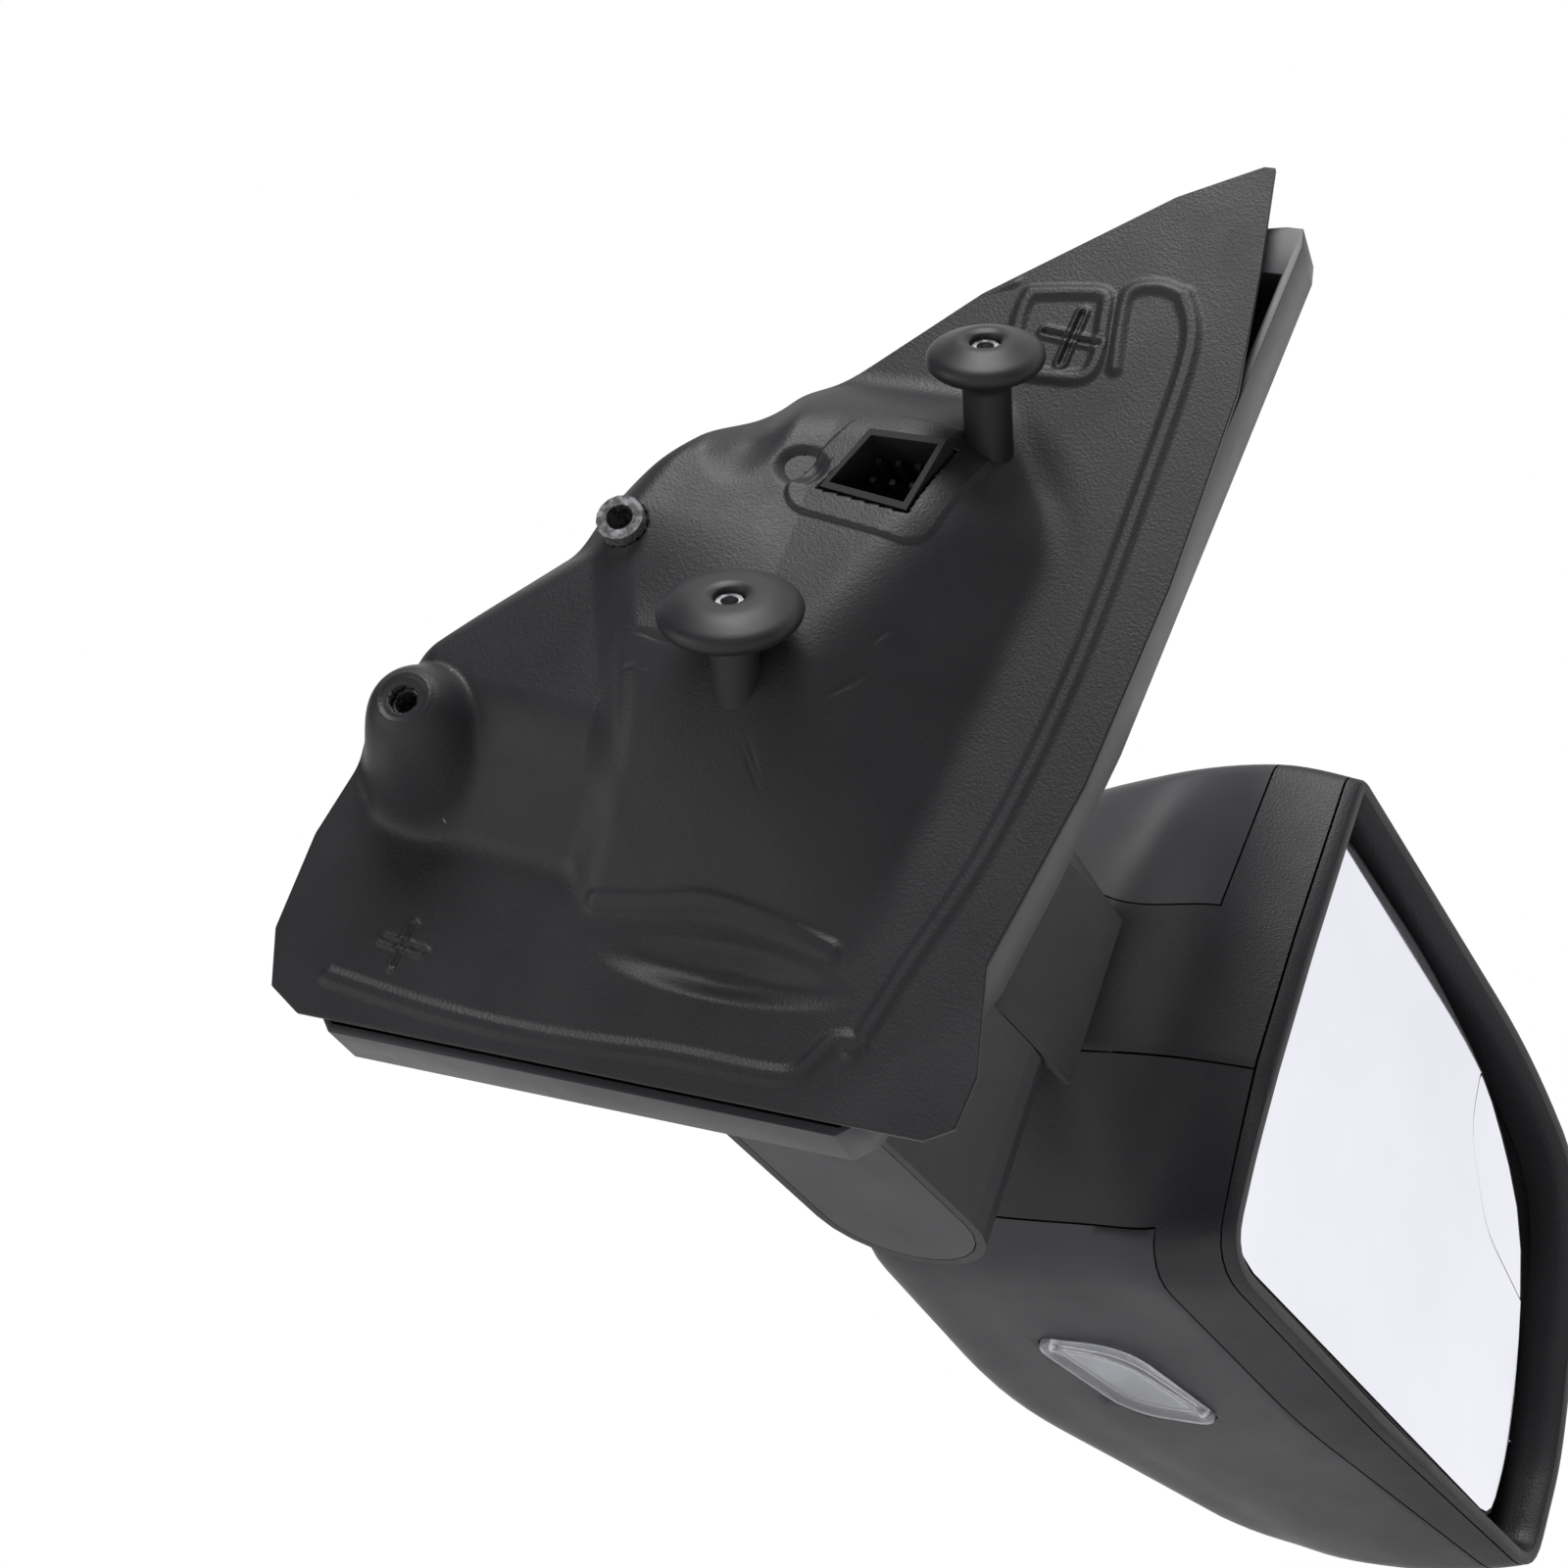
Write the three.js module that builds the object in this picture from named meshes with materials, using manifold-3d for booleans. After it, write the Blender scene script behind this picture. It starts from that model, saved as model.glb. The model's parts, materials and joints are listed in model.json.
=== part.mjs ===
// Right-hand door mirror: a sail that bolts to the door, a fixed foot, and a head that folds on it.
// Millimetres. +X points away from the car, +Y forward, +Z up.
// The origin is on the sail's sealing plane, just inside its lower rear corner.
import * as THREE from "three";
import { mergeVertices } from "three/addons/utils/BufferGeometryUtils.js";
import Module from "manifold-3d";

const wasm = await Module();
wasm.setup();

// ---- driving dimensions ----
const GAP = 0.35; // clearance between touching pieces
const SAIL_LEAN = THREE.MathUtils.degToRad(8); // the sail leans inboard at the top
const SAIL_YAW = THREE.MathUtils.degToRad(12); // and its outside turns forward
const SAIL_HEIGHT = 297;
const SAIL_BOTTOM = -8;
const SHEET = 2.2; // seal sheet thickness
const CASTING = 2.4; // bracket wall
const SKIN = SHEET + 2.2; // the casting's inboard face, clear of the sheet
const COVER_IN = 7; // sail cover: open edge and outer face, measured from the seal plane
const COVER_OUT = 28;
const COVER_WALL = 2.6;
const ORIGIN_ON_SAIL = [24, 16]; // the origin's place on the sail: forward and up from the corner
const HEAD_YAW = THREE.MathUtils.degToRad(8);
const HEAD_SET = [2.4, 17.1]; // the head's zero point, right and ahead of the sail's lower rear corner
const PIVOT = [78, 62]; // fold axis in head coordinates
const FOOT_R = 28;
const FOOT_BOTTOM = 8;
const SPLIT_Z = 67.5; // fold joint between foot and head
const SHELL = 2.6; // head shell wall
const GLASS_F = 10; // front face of the glass, ahead of the rim's rear edge
const GLASS_CENTRE = [268, 119];
const LEVER = 38; // jackscrew distance from the glass centre
const GEAR_TEETH = 20;

// ---- frames ----
const sailNormal = new THREE.Vector3(
  Math.cos(SAIL_YAW) * Math.cos(SAIL_LEAN),
  Math.sin(SAIL_YAW) * Math.cos(SAIL_LEAN),
  Math.sin(SAIL_LEAN),
);
const sailForward = new THREE.Vector3(-Math.sin(SAIL_YAW), Math.cos(SAIL_YAW), 0);
const sailUp = new THREE.Vector3().crossVectors(sailNormal, sailForward);
const sailFrame = new THREE.Matrix4().makeBasis(sailNormal, sailForward, sailUp);
const headFrame = new THREE.Matrix4().makeRotationZ(-HEAD_YAW);
headFrame.setPosition(HEAD_SET[0], HEAD_SET[1], 0);
const headFromSail = headFrame.clone().invert().multiply(sailFrame);
const sailFromHead = sailFrame.clone().invert().multiply(headFrame);

// ---- solids ----
function solid(geometry) {
  const bare = geometry.clone();
  bare.deleteAttribute("normal");
  bare.deleteAttribute("uv");
  const merged = mergeVertices(bare, 1e-4);
  const index = Array.from(merged.index.array);
  const kept = [];
  for (let i = 0; i < index.length; i += 3) {
    const [a, b, c] = index.slice(i, i + 3);
    if (a !== b && b !== c && c !== a) kept.push(a, b, c);
  }
  const vertProperties = new Float32Array(merged.attributes.position.array);
  const build = (tris) => new wasm.Manifold(new wasm.Mesh({ numProp: 3, vertProperties, triVerts: tris }));
  const made = build(new Uint32Array(kept));
  if (made.volume() > 0) return made;
  return build(new Uint32Array(kept.reverse()));
}

function geometryOf(made) {
  const mesh = made.getMesh();
  const geometry = new THREE.BufferGeometry();
  const positions = new Float32Array(mesh.numVert * 3);
  for (let i = 0; i < mesh.numVert; i++) {
    for (let k = 0; k < 3; k++) positions[3 * i + k] = mesh.vertProperties[mesh.numProp * i + k];
  }
  geometry.setAttribute("position", new THREE.BufferAttribute(positions, 3));
  geometry.setIndex(new THREE.BufferAttribute(new Uint32Array(mesh.triVerts), 1));
  geometry.computeVertexNormals();
  return geometry;
}

const joined = (...all) => all.reduce((a, b) => a.add(b));
const cut = (body, ...tools) => tools.reduce((a, b) => a.subtract(b), body);
const moved = (body, matrix) => body.transform(matrix.elements);

function box(x0, x1, y0, y1, z0, z1) {
  const geometry = new THREE.BoxGeometry(x1 - x0, y1 - y0, z1 - z0);
  return solid(geometry.translate((x0 + x1) / 2, (y0 + y1) / 2, (z0 + z1) / 2));
}

// turned profile of [radius, height] pairs about the line from `foot` along `axis`
function turned(profile, foot, axis, sides = 20) {
  const points = profile.map(([r, h]) => new THREE.Vector2(r, h));
  const geometry = new THREE.LatheGeometry(points, sides);
  const turn = new THREE.Quaternion().setFromUnitVectors(
    new THREE.Vector3(0, 1, 0),
    new THREE.Vector3(...axis).normalize(),
  );
  geometry.applyQuaternion(turn);
  return solid(geometry.translate(...foot));
}

const rod = (r, h0, h1, foot, axis, sides) =>
  turned([[0, h0], [r, h0], [r, h1], [0, h1]], foot, axis, sides);
const tube = (r0, r1, h0, h1, foot, axis, sides) =>
  turned([[r0, h0], [r1, h0], [r1, h1], [r0, h1], [r0, h0]], foot, axis, sides);

// outline extruded along z between z0 and z1
function prism(outline, z0, z1) {
  const shape = new THREE.Shape(outline.map(([x, y]) => new THREE.Vector2(x, y)));
  const geometry = new THREE.ExtrudeGeometry(shape, { depth: z1 - z0, bevelEnabled: false });
  return solid(geometry.translate(0, 0, z0));
}

// the same outline, drawn in (g, z), extruded along f; or drawn in (y, z), extruded along x
const turnToF = new THREE.Matrix4().makeBasis(
  new THREE.Vector3(1, 0, 0), new THREE.Vector3(0, 0, 1), new THREE.Vector3(0, -1, 0));
const turnToX = new THREE.Matrix4().makeBasis(
  new THREE.Vector3(0, 1, 0), new THREE.Vector3(0, 0, 1), new THREE.Vector3(1, 0, 0));
const prismF = (outline, f0, f1) => moved(prism(outline, -f1, -f0), turnToF);
const prismX = (outline, x0, x1) => moved(prism(outline, x0, x1), turnToX);

// polygon whose corners, given as [x, y, setback], are rounded by quadratic curves
function softPolygon(corners, steps = 4) {
  const out = [];
  const count = corners.length;
  corners.forEach(([x, y, setback], i) => {
    const here = new THREE.Vector2(x, y);
    const before = new THREE.Vector2(...corners[(i + count - 1) % count].slice(0, 2)).sub(here);
    const after = new THREE.Vector2(...corners[(i + 1) % count].slice(0, 2)).sub(here);
    const start = here.clone().add(before.setLength(Math.min(setback, before.length() * 0.48)));
    const end = here.clone().add(after.setLength(Math.min(setback, after.length() * 0.48)));
    const curve = new THREE.QuadraticBezierCurve(start, here, end);
    for (const p of curve.getPoints(steps)) out.push([p.x, p.y]);
  });
  return out;
}

function scaledAbout(outline, [cx, cy], dx, dy) {
  const xs = outline.map((p) => p[0]);
  const ys = outline.map((p) => p[1]);
  const sx = 1 + (2 * dx) / (Math.max(...xs) - Math.min(...xs));
  const sy = 1 + (2 * dy) / (Math.max(...ys) - Math.min(...ys));
  return outline.map(([x, y]) => [cx + (x - cx) * sx, cy + (y - cy) * sy]);
}

// closed solid between an outer and an inner grid of points, over the cells that `keep` accepts;
// its open edges are drawn in by `inset`
function gridSolid(outerGrid, innerGrid, rows, columns, wrap, keep = () => true, inset = 0) {
  const positions = [];
  const push = (...points) => points.forEach((p) => positions.push(p.x, p.y, p.z));
  const quad = (a, b, c, d) => push(a, b, c, a, c, d);
  const turn = (j) => (wrap ? (j + columns) % columns : j);
  const has = (i, j) => {
    if (i < 0 || i >= rows - 1) return false;
    if (!wrap && (j < 0 || j >= columns - 1)) return false;
    return keep(i, turn(j));
  };
  const drawnIn = (grid) => grid.map((row, i) => row.map((p, j) => {
    const cells = [has(i, j), has(i, j - 1), has(i - 1, j), has(i - 1, j - 1)].map(Number);
    const along = Math.sign(cells[0] + cells[1] - cells[2] - cells[3]);
    const across = Math.sign(cells[0] + cells[2] - cells[1] - cells[3]);
    const out = p.clone();
    if (along !== 0 && grid[i + along]) {
      out.add(grid[i + along][j].clone().sub(p).setLength(inset));
    }
    const side = wrap ? turn(j + across) : j + across;
    if (across !== 0 && row[side]) out.add(row[side].clone().sub(p).setLength(inset));
    return out;
  }));
  const outer = inset > 0 ? drawnIn(outerGrid) : outerGrid;
  const inner = inset > 0 ? drawnIn(innerGrid) : innerGrid;
  for (let i = 0; i < rows - 1; i++) {
    for (let j = 0; j < (wrap ? columns : columns - 1); j++) {
      if (!has(i, j)) continue;
      const k = turn(j + 1);
      quad(outer[i][j], outer[i][k], outer[i + 1][k], outer[i + 1][j]);
      quad(inner[i][j], inner[i + 1][j], inner[i + 1][k], inner[i][k]);
      if (!has(i - 1, j)) quad(outer[i][j], inner[i][j], inner[i][k], outer[i][k]);
      if (!has(i + 1, j)) quad(outer[i + 1][j], outer[i + 1][k], inner[i + 1][k], inner[i + 1][j]);
      if (!has(i, j - 1)) quad(outer[i][j], outer[i + 1][j], inner[i + 1][j], inner[i][j]);
      if (!has(i, j + 1)) quad(outer[i][k], inner[i][k], inner[i + 1][k], outer[i + 1][k]);
    }
  }
  const geometry = new THREE.BufferGeometry();
  geometry.setAttribute("position", new THREE.BufferAttribute(new Float32Array(positions), 3));
  return solid(geometry);
}

// ---- sail outline and relief ----
const smooth = (a, b, x) => THREE.MathUtils.smoothstep(x, a, b);
const curveThrough = (pairs) => {
  const points = pairs.map(([z, y]) => new THREE.Vector3(z, y, 0));
  return (z) => {
    if (z <= points[0].x) return points[0].y;
    for (let i = 1; i < points.length; i++) {
      if (z > points[i].x) continue;
      const t = (z - points[i - 1].x) / (points[i].x - points[i - 1].x);
      return THREE.MathUtils.lerp(points[i - 1].y, points[i].y, t);
    }
    return points[points.length - 1].y;
  };
};
// rear and front edges of the sail as y for each height z
const rearEdge = curveThrough([
  [-8, 14], [-3, 6], [12, 4], [43, 10], [99, -3], [161, -11], [223, -15], [262, -12], [297, -8]]);
const frontEdge = curveThrough([
  [-8, 203], [-2, 213], [15, 218], [45, 216], [72, 209], [120, 172],
  [192, 118], [245, 68], [284, 19], [297, -4]]);
// the same for the outside cover
const coverRear = curveThrough([
  [-10, 40], [-5, 34], [20, 22], [48, 11], [79, 5], [110, -1],
  [173, -9], [238, -16], [276, -20], [282, -19]]);
const coverFront = curveThrough([
  [-10, 194], [-3, 200], [15, 208], [45, 208], [72, 203], [120, 167],
  [192, 113], [245, 60], [276, 14], [282, -14]]);

// smaller or larger of two heights, with the crease between them rounded over `k`
function softMin(a, b, k) {
  const share = THREE.MathUtils.clamp(0.5 + (b - a) / (2 * k), 0, 1);
  return b * (1 - share) + a * share - k * share * (1 - share);
}
const softMax = (a, b, k) => -softMin(-a, -b, k);

// height of a plane that rises from the foot line through a and b towards `centre`
function flank(y, z, { foot: [a, b], rise }, centre) {
  const side = (p, q) => (b[0] - a[0]) * (q - a[1]) - (b[1] - a[1]) * (p - a[0]);
  const distance = side(y, z) / Math.hypot(b[0] - a[0], b[1] - a[1]);
  return rise * Math.sign(side(...centre)) * distance;
}

const BODY_CENTRE = [92, 120];
const BODY_FLANKS = [
  { foot: [[46, 18], [22, 170]], rise: 0.7, soft: 7 },
  { foot: [[52, 40], [124, 35]], rise: 0.56, soft: 14 },
  { foot: [[130, 36], [152, 92]], rise: 1.15, soft: 7 },
  { foot: [[188, 104], [150, 188]], rise: 1.3, soft: 7 },
  { foot: [[150, 188], [100, 214]], rise: 1.2, soft: 7 },
  { foot: [[22, 170], [52, 212]], rise: 0.8, soft: 7 },
  { foot: [[52, 212], [98, 212]], rise: 0.9, soft: 7 },
];
const ARM_CENTRE = [160, 90];
const ARM_FLANKS = [
  { foot: [[178, 50], [126, 46]], rise: 0.8, soft: 8 },
  { foot: [[208, 108], [160, 152]], rise: 1.2, soft: 6 },
  { foot: [[202, 60], [208, 108]], rise: 1.4, soft: 6 },
];

function bodyHeight(y, z) {
  const lean = 0.14 * THREE.MathUtils.clamp(y - 92, 0, 60) * smooth(112, 150, z);
  const top = 31 - 0.17 * Math.max(z - 112, 0) + lean;
  return BODY_FLANKS.reduce((h, side) => softMin(h, flank(y, z, side, BODY_CENTRE), side.soft), top);
}

function shoulderHeight(y, z) {
  const top = softMin(27, 27 - 0.9 * Math.max(132 - y, 0), 4);
  return ARM_FLANKS.reduce((h, side) => softMin(h, flank(y, z, side, ARM_CENTRE), side.soft), top);
}

// how far the seal sheet stands inboard of the sealing plane
function relief(y, z) {
  const column = 36 * (1 - smooth(8, 29, Math.hypot(y - 184, z - 77)));
  const raised = softMax(softMax(bodyHeight(y, z), shoulderHeight(y, z), 5), column, 4);
  const draped = Math.max(softMax(raised, 0, 3) - 0.75, 0);
  const fromDimple = Math.hypot((y - 116) / 14, (z - 186) / 26);
  const dimple = 6 * (1 - smooth(0, 1, fromDimple)) * smooth(2, 10, draped);
  const recess = 4 * (1 - smooth(0.15, 1, Math.hypot((y - 82) / 40, (z - 27) / 9)));
  return draped - dimple - recess;
}

// grid over the sail; x comes from `depth(y, z)`
function sailGrid(depth) {
  const grid = [];
  for (let i = 0; i < SHEET_ROWS; i++) {
    const z = THREE.MathUtils.lerp(SAIL_BOTTOM, SAIL_HEIGHT, i / (SHEET_ROWS - 1));
    const row = [];
    for (let j = 0; j < SHEET_COLUMNS; j++) {
      const y = THREE.MathUtils.lerp(rearEdge(z), frontEdge(z), j / (SHEET_COLUMNS - 1));
      row.push(new THREE.Vector3(depth(y, z), y, z));
    }
    grid.push(row);
  }
  return grid;
}

const SHEET_ROWS = 33;
const SHEET_COLUMNS = 25;
const DOWEL_AXIS = [-0.83, 0, 0.56]; // the dowels point inboard and up
const DOWELS = {
  lower: { base: [-29, 93, 103], head: 20.5, reach: 25 },
  upper: { base: [-15, 50, 201], head: 17, reach: 21 },
};
const BOSS = [184, 77];
const EAR = [139, 142];
const WINDOW = [[90, 165], [61, 161], [55, 187], [80, 187]];
const WINDOW_CENTRE = [72, 175];
const INBOARD = [-1, 0, 0];
const HOLE_SIDES = 12;

function dowelHole({ base }, r) {
  return rod(r, -40, 60, base, DOWEL_AXIS, HOLE_SIDES);
}

function sealGasket() {
  const outer = sailGrid((y, z) => -relief(y, z));
  const inner = sailGrid((y, z) => SHEET - relief(y, z));
  const body = gridSolid(outer, inner, SHEET_ROWS, SHEET_COLUMNS, false);
  return cut(
    body,
    ...Object.values(DOWELS).map((d) => dowelHole(d, 8)),
    rod(5.6, -80, 10, [0, ...BOSS], [1, 0, 0], HOLE_SIDES),
    rod(8, -80, 10, [0, ...EAR], [1, 0, 0], HOLE_SIDES),
    prismX(WINDOW, -80, 10),
  );
}

// ---- bracket: thin casting under the sheet, with bosses, ribs and the arm to the pivot ----
function bracketShell() {
  const trimmed = (grid) => grid.slice(1, -2).map((row) => row.slice(1, -1));
  const outer = trimmed(sailGrid((y, z) => SKIN - relief(y, z)));
  const inner = trimmed(sailGrid((y, z) => SKIN + CASTING - relief(y, z)));
  return gridSolid(outer, inner, SHEET_ROWS - 3, SHEET_COLUMNS - 2, false);
}

const ARM_Z = [34, 52];
const ARM_HALF = 17;

function bracketArm() {
  const [pg, pf] = PIVOT;
  const arm = box(-60, pg, pf - ARM_HALF, pf + ARM_HALF, ...ARM_Z);
  const disc = rod(21, ARM_Z[0], 56, [pg, pf, 0], [0, 0, 1], 20);
  const hollow = box(-60, pg - 22, pf - ARM_HALF + 4, pf + ARM_HALF - 4, ARM_Z[0] - 1, ARM_Z[1] - 4);
  const outsideSheet = box(SHEET + 1.6, 300, -100, 300, -100, 300);
  return moved(cut(joined(arm, disc), hollow), sailFromHead).intersect(outsideSheet);
}

function baseBracket() {
  const behind = (body) => body.intersect(prismX(coverOutline(COVER_WALL + 0.6), -90, 11));
  const skinBlock = gridSolid(
    sailGrid((y, z) => SKIN - relief(y, z)), sailGrid(() => 60), SHEET_ROWS, SHEET_COLUMNS, false);
  const bosses = Object.values(DOWELS).map((d) => rod(11, -28, 8, d.base, DOWEL_AXIS, HOLE_SIDES));
  bosses.push(rod(9, -60, COVER_IN, [0, ...BOSS], [1, 0, 0], HOLE_SIDES));
  bosses.push(rod(10, -60, COVER_IN, [0, ...EAR], [1, 0, 0], HOLE_SIDES));
  const ribs = [
    box(-30, COVER_IN + 5, 30, 96, 26, 44),
    box(4, COVER_IN + 5, 30, 190, 24, 27),
    box(4, COVER_IN + 5, 112, 115, 8, 60),
    box(4, COVER_IN + 5, 34, 37, 8, 120),
  ];
  const trimmed = [...bosses, ...ribs].map((body) => behind(body.intersect(skinBlock)));
  return cut(
    joined(bracketShell(), bracketArm(), ...trimmed),
    ...Object.values(DOWELS).map((d) => dowelHole(d, 7 + GAP)),
    ...COVER_SCREWS.map((at) => rod(4, -80, SCREW_SEAT, [0, ...at], [1, 0, 0], HOLE_SIDES)),
    ...COVER_SCREWS.map((at) => rod(2, -80, 40, [0, ...at], [1, 0, 0], HOLE_SIDES)),
    rod(5 + GAP, -80, 40, [0, ...BOSS], [1, 0, 0], HOLE_SIDES),
    rod(7 + GAP, -80, 40, [0, ...EAR], [1, 0, 0], HOLE_SIDES),
    prismX(scaledAbout(WINDOW, WINDOW_CENTRE, 2, 2), -80, 40),
    prismX(scaledAbout(WINDOW, WINDOW_CENTRE, 7.5, 7.5), 8, 40),
    moved(rod(13 + GAP, 0, 34, [...PIVOT, 0], [0, 0, 1], 20), sailFromHead),
    moved(rod(8 + GAP, 0, 90, [...PIVOT, 0], [0, 0, 1], 20), sailFromHead),
  );
}

// rubber dowel: a stem through the bracket and a mushroom head that stands clear of the sheet
function dowel({ base, head, reach }) {
  const stem = 7;
  const profile = [
    [4.3, -20], [stem, -20], [stem, reach - 13],
    [head - 6, reach - 11], [head - 1, reach - 8], [head, reach - 5],
    [head - 3, reach - 1.8], [head - 9, reach], [6.5, reach + 0.6], [4.3, reach], [4.3, -20]];
  return turned(profile, base, DOWEL_AXIS, 20);
}

const insert = ({ base, reach }) => tube(2.6, 4.3 - GAP, -18, reach - 2, base, DOWEL_AXIS, HOLE_SIDES);

const bossSleeve = () => tube(3.6, 5, 4, 32, [0, ...BOSS], INBOARD, 14);
const earBush = () => tube(4, 7, 0, 34, [0, ...EAR], INBOARD, 16);

function connectorSocket() {
  const shell = prismX(scaledAbout(WINDOW, WINDOW_CENTRE, -1.2, -1.2), -22, 14);
  const hollow = prismX(scaledAbout(WINDOW, WINDOW_CENTRE, -3.4, -3.4), -30, 8);
  const pins = [];
  for (const y of [66, 72, 78]) {
    for (const z of [169, 175, 181]) pins.push(box(-12, 9, y - 0.8, y + 0.8, z - 0.8, z + 0.8));
  }
  const flange = cut(
    prismX(scaledAbout(WINDOW, WINDOW_CENTRE, 7, 7), 8.5, 14),
    prismX(scaledAbout(WINDOW, WINDOW_CENTRE, -6, -6), 0, 30));
  return joined(cut(shell, hollow), flange, ...pins);
}

// ---- sail cover ----
function coverOutline(inset) {
  const [low, high] = [-10 + inset, 282 - 6 * inset];
  const middle = [-5, 15, 45, 79, 120, 192, 245, 276].filter((z) => z > low + 1 && z < high - 1);
  const heights = [low, ...middle, high];
  const up = heights.map((z) => [coverFront(z) - inset, z]);
  const down = heights.toReversed().map((z) => [coverRear(z) + inset, z]);
  return [...up, ...down];
}

function armPassage(grow) {
  const [pg, pf] = PIVOT;
  return moved(
    box(-80, pg, pf - ARM_HALF - grow, pf + ARM_HALF + grow, ARM_Z[0] - grow, ARM_Z[1] + grow), sailFromHead);
}

const COVER_SCREWS = [[44, 18], [190, 18], [8, 214]];
const SCREW_SEAT = 5.1; // the screw heads sit in the bracket's skin, clear of the seal sheet

function sailCover() {
  const outer = prismX(coverOutline(0), COVER_IN, COVER_OUT);
  const inner = prismX(coverOutline(COVER_WALL), COVER_IN - 1, COVER_OUT - COVER_WALL);
  const post = (r, x0, x1) => (at) => rod(r, x0, x1, [0, ...at], [1, 0, 0], 12);
  return cut(
    joined(cut(outer, inner), ...COVER_SCREWS.map(post(4, COVER_IN, COVER_OUT - 1))),
    armPassage(1),
    ...COVER_SCREWS.map(post(1.9, COVER_IN - 1, COVER_OUT - 6)),
  );
}

function coverScrew(at) {
  const under = SCREW_SEAT - 0.2;
  const top = under - 2;
  const profile = [[0, top], [3.4, top], [3.4, under], [1.6, under], [1.6, 20], [0, 20]];
  return turned(profile, [0, ...at], [1, 0, 0], 12);
}

// ---- foot ----
function stadium(r, inboard, steps = 12) {
  const out = [];
  const [pg, pf] = PIVOT;
  for (let i = 0; i <= steps; i++) {
    const a = THREE.MathUtils.degToRad(-90 + (180 * i) / steps);
    out.push([pg + r * Math.cos(a), pf + r * Math.sin(a)]);
  }
  out.push([inboard, pf + r], [inboard, pf - r]);
  return out;
}

const outsideSail = (x) => moved(box(x, 400, -200, 400, -200, 400), headFromSail);

function armFoot() {
  const outer = prism(stadium(FOOT_R, -10), FOOT_BOTTOM, SPLIT_Z - 0.5);
  const inner = prism(stadium(FOOT_R - 3, -10), FOOT_BOTTOM - 1, SPLIT_Z - 4);
  const neckHole = rod(15, 0, 90, [...PIVOT, 0], [0, 0, 1], 24);
  return cut(outer, inner, neckHole).intersect(outsideSail(COVER_OUT + GAP));
}

function footCap() {
  const outline = stadium(FOOT_R - 3 - GAP, -10);
  return prism(outline, FOOT_BOTTOM, FOOT_BOTTOM + 3).intersect(outsideSail(COVER_OUT + 3));
}

// ---- fold joint on the pivot axis ----
const HUB_TOP = 100; // the head bracket's hub ends here and the spring stands on it
const pivotTurned = (profile, sides) => turned(profile, [...PIVOT, 0], [0, 0, 1], sides);
const pivotPost = () => pivotTurned([
  [4, 26], [13, 26], [13, 33.5], [8, 33.5], [8, 118],
  [6.5, 118], [6.5, 120], [8, 120], [8, 124], [4, 124], [4, 26]], 20);
const RAMPS = 4;

function rampRing(z0, z1, rampZ) {
  const ring = pivotTurned([[8.6, z0], [14, z0], [14, z1], [8.6, z1], [8.6, z0]], 24);
  const ramps = [];
  for (let i = 0; i < RAMPS; i++) {
    const a = (i * 2 * Math.PI) / RAMPS;
    const turn = new THREE.Matrix4().makeRotationZ(a).setPosition(...PIVOT, 0);
    const low = Math.min(z1, rampZ);
    const high = Math.max(z1, rampZ);
    ramps.push(moved(box(9.2, 13.4, -1.6, 1.6, low - 0.5, high), turn));
  }
  return joined(ring, ...ramps);
}

const detentRing = () => rampRing(56.5, 62, 63.4);
const thrustWasher = () => pivotTurned([[8.7, 63.8], [14, 63.8], [14, 65.6], [8.7, 65.6], [8.7, 63.8]], 24);

function pivotSpring() {
  const turns = 3;
  const r = 12;
  const wire = 1.4;
  const [z0, z1] = [HUB_TOP + 2, 113.2];
  class Helix extends THREE.Curve {
    getPoint(t) {
      const a = 2 * Math.PI * turns * t;
      return new THREE.Vector3(PIVOT[0] + r * Math.cos(a), PIVOT[1] + r * Math.sin(a), z0 + (z1 - z0) * t);
    }
  }
  const section = new THREE.Shape();
  for (let i = 0; i < 6; i++) {
    const corner = new THREE.Vector2(wire, 0).rotateAround(new THREE.Vector2(), (i * Math.PI) / 3);
    if (i === 0) section.moveTo(corner.x, corner.y);
    else section.lineTo(corner.x, corner.y);
  }
  return solid(new THREE.ExtrudeGeometry(section, { steps: 12 * turns, extrudePath: new Helix() }));
}

const springRetainer = () => pivotTurned([[8.4, 115], [15, 115], [15, 117.4], [8.4, 117.4], [8.4, 115]], 20);
const retainerClip = () => pivotTurned(
  [[6.9, 118.3], [11, 118.3], [11, 119.7], [6.9, 119.7], [6.9, 118.3]], 16);

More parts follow.
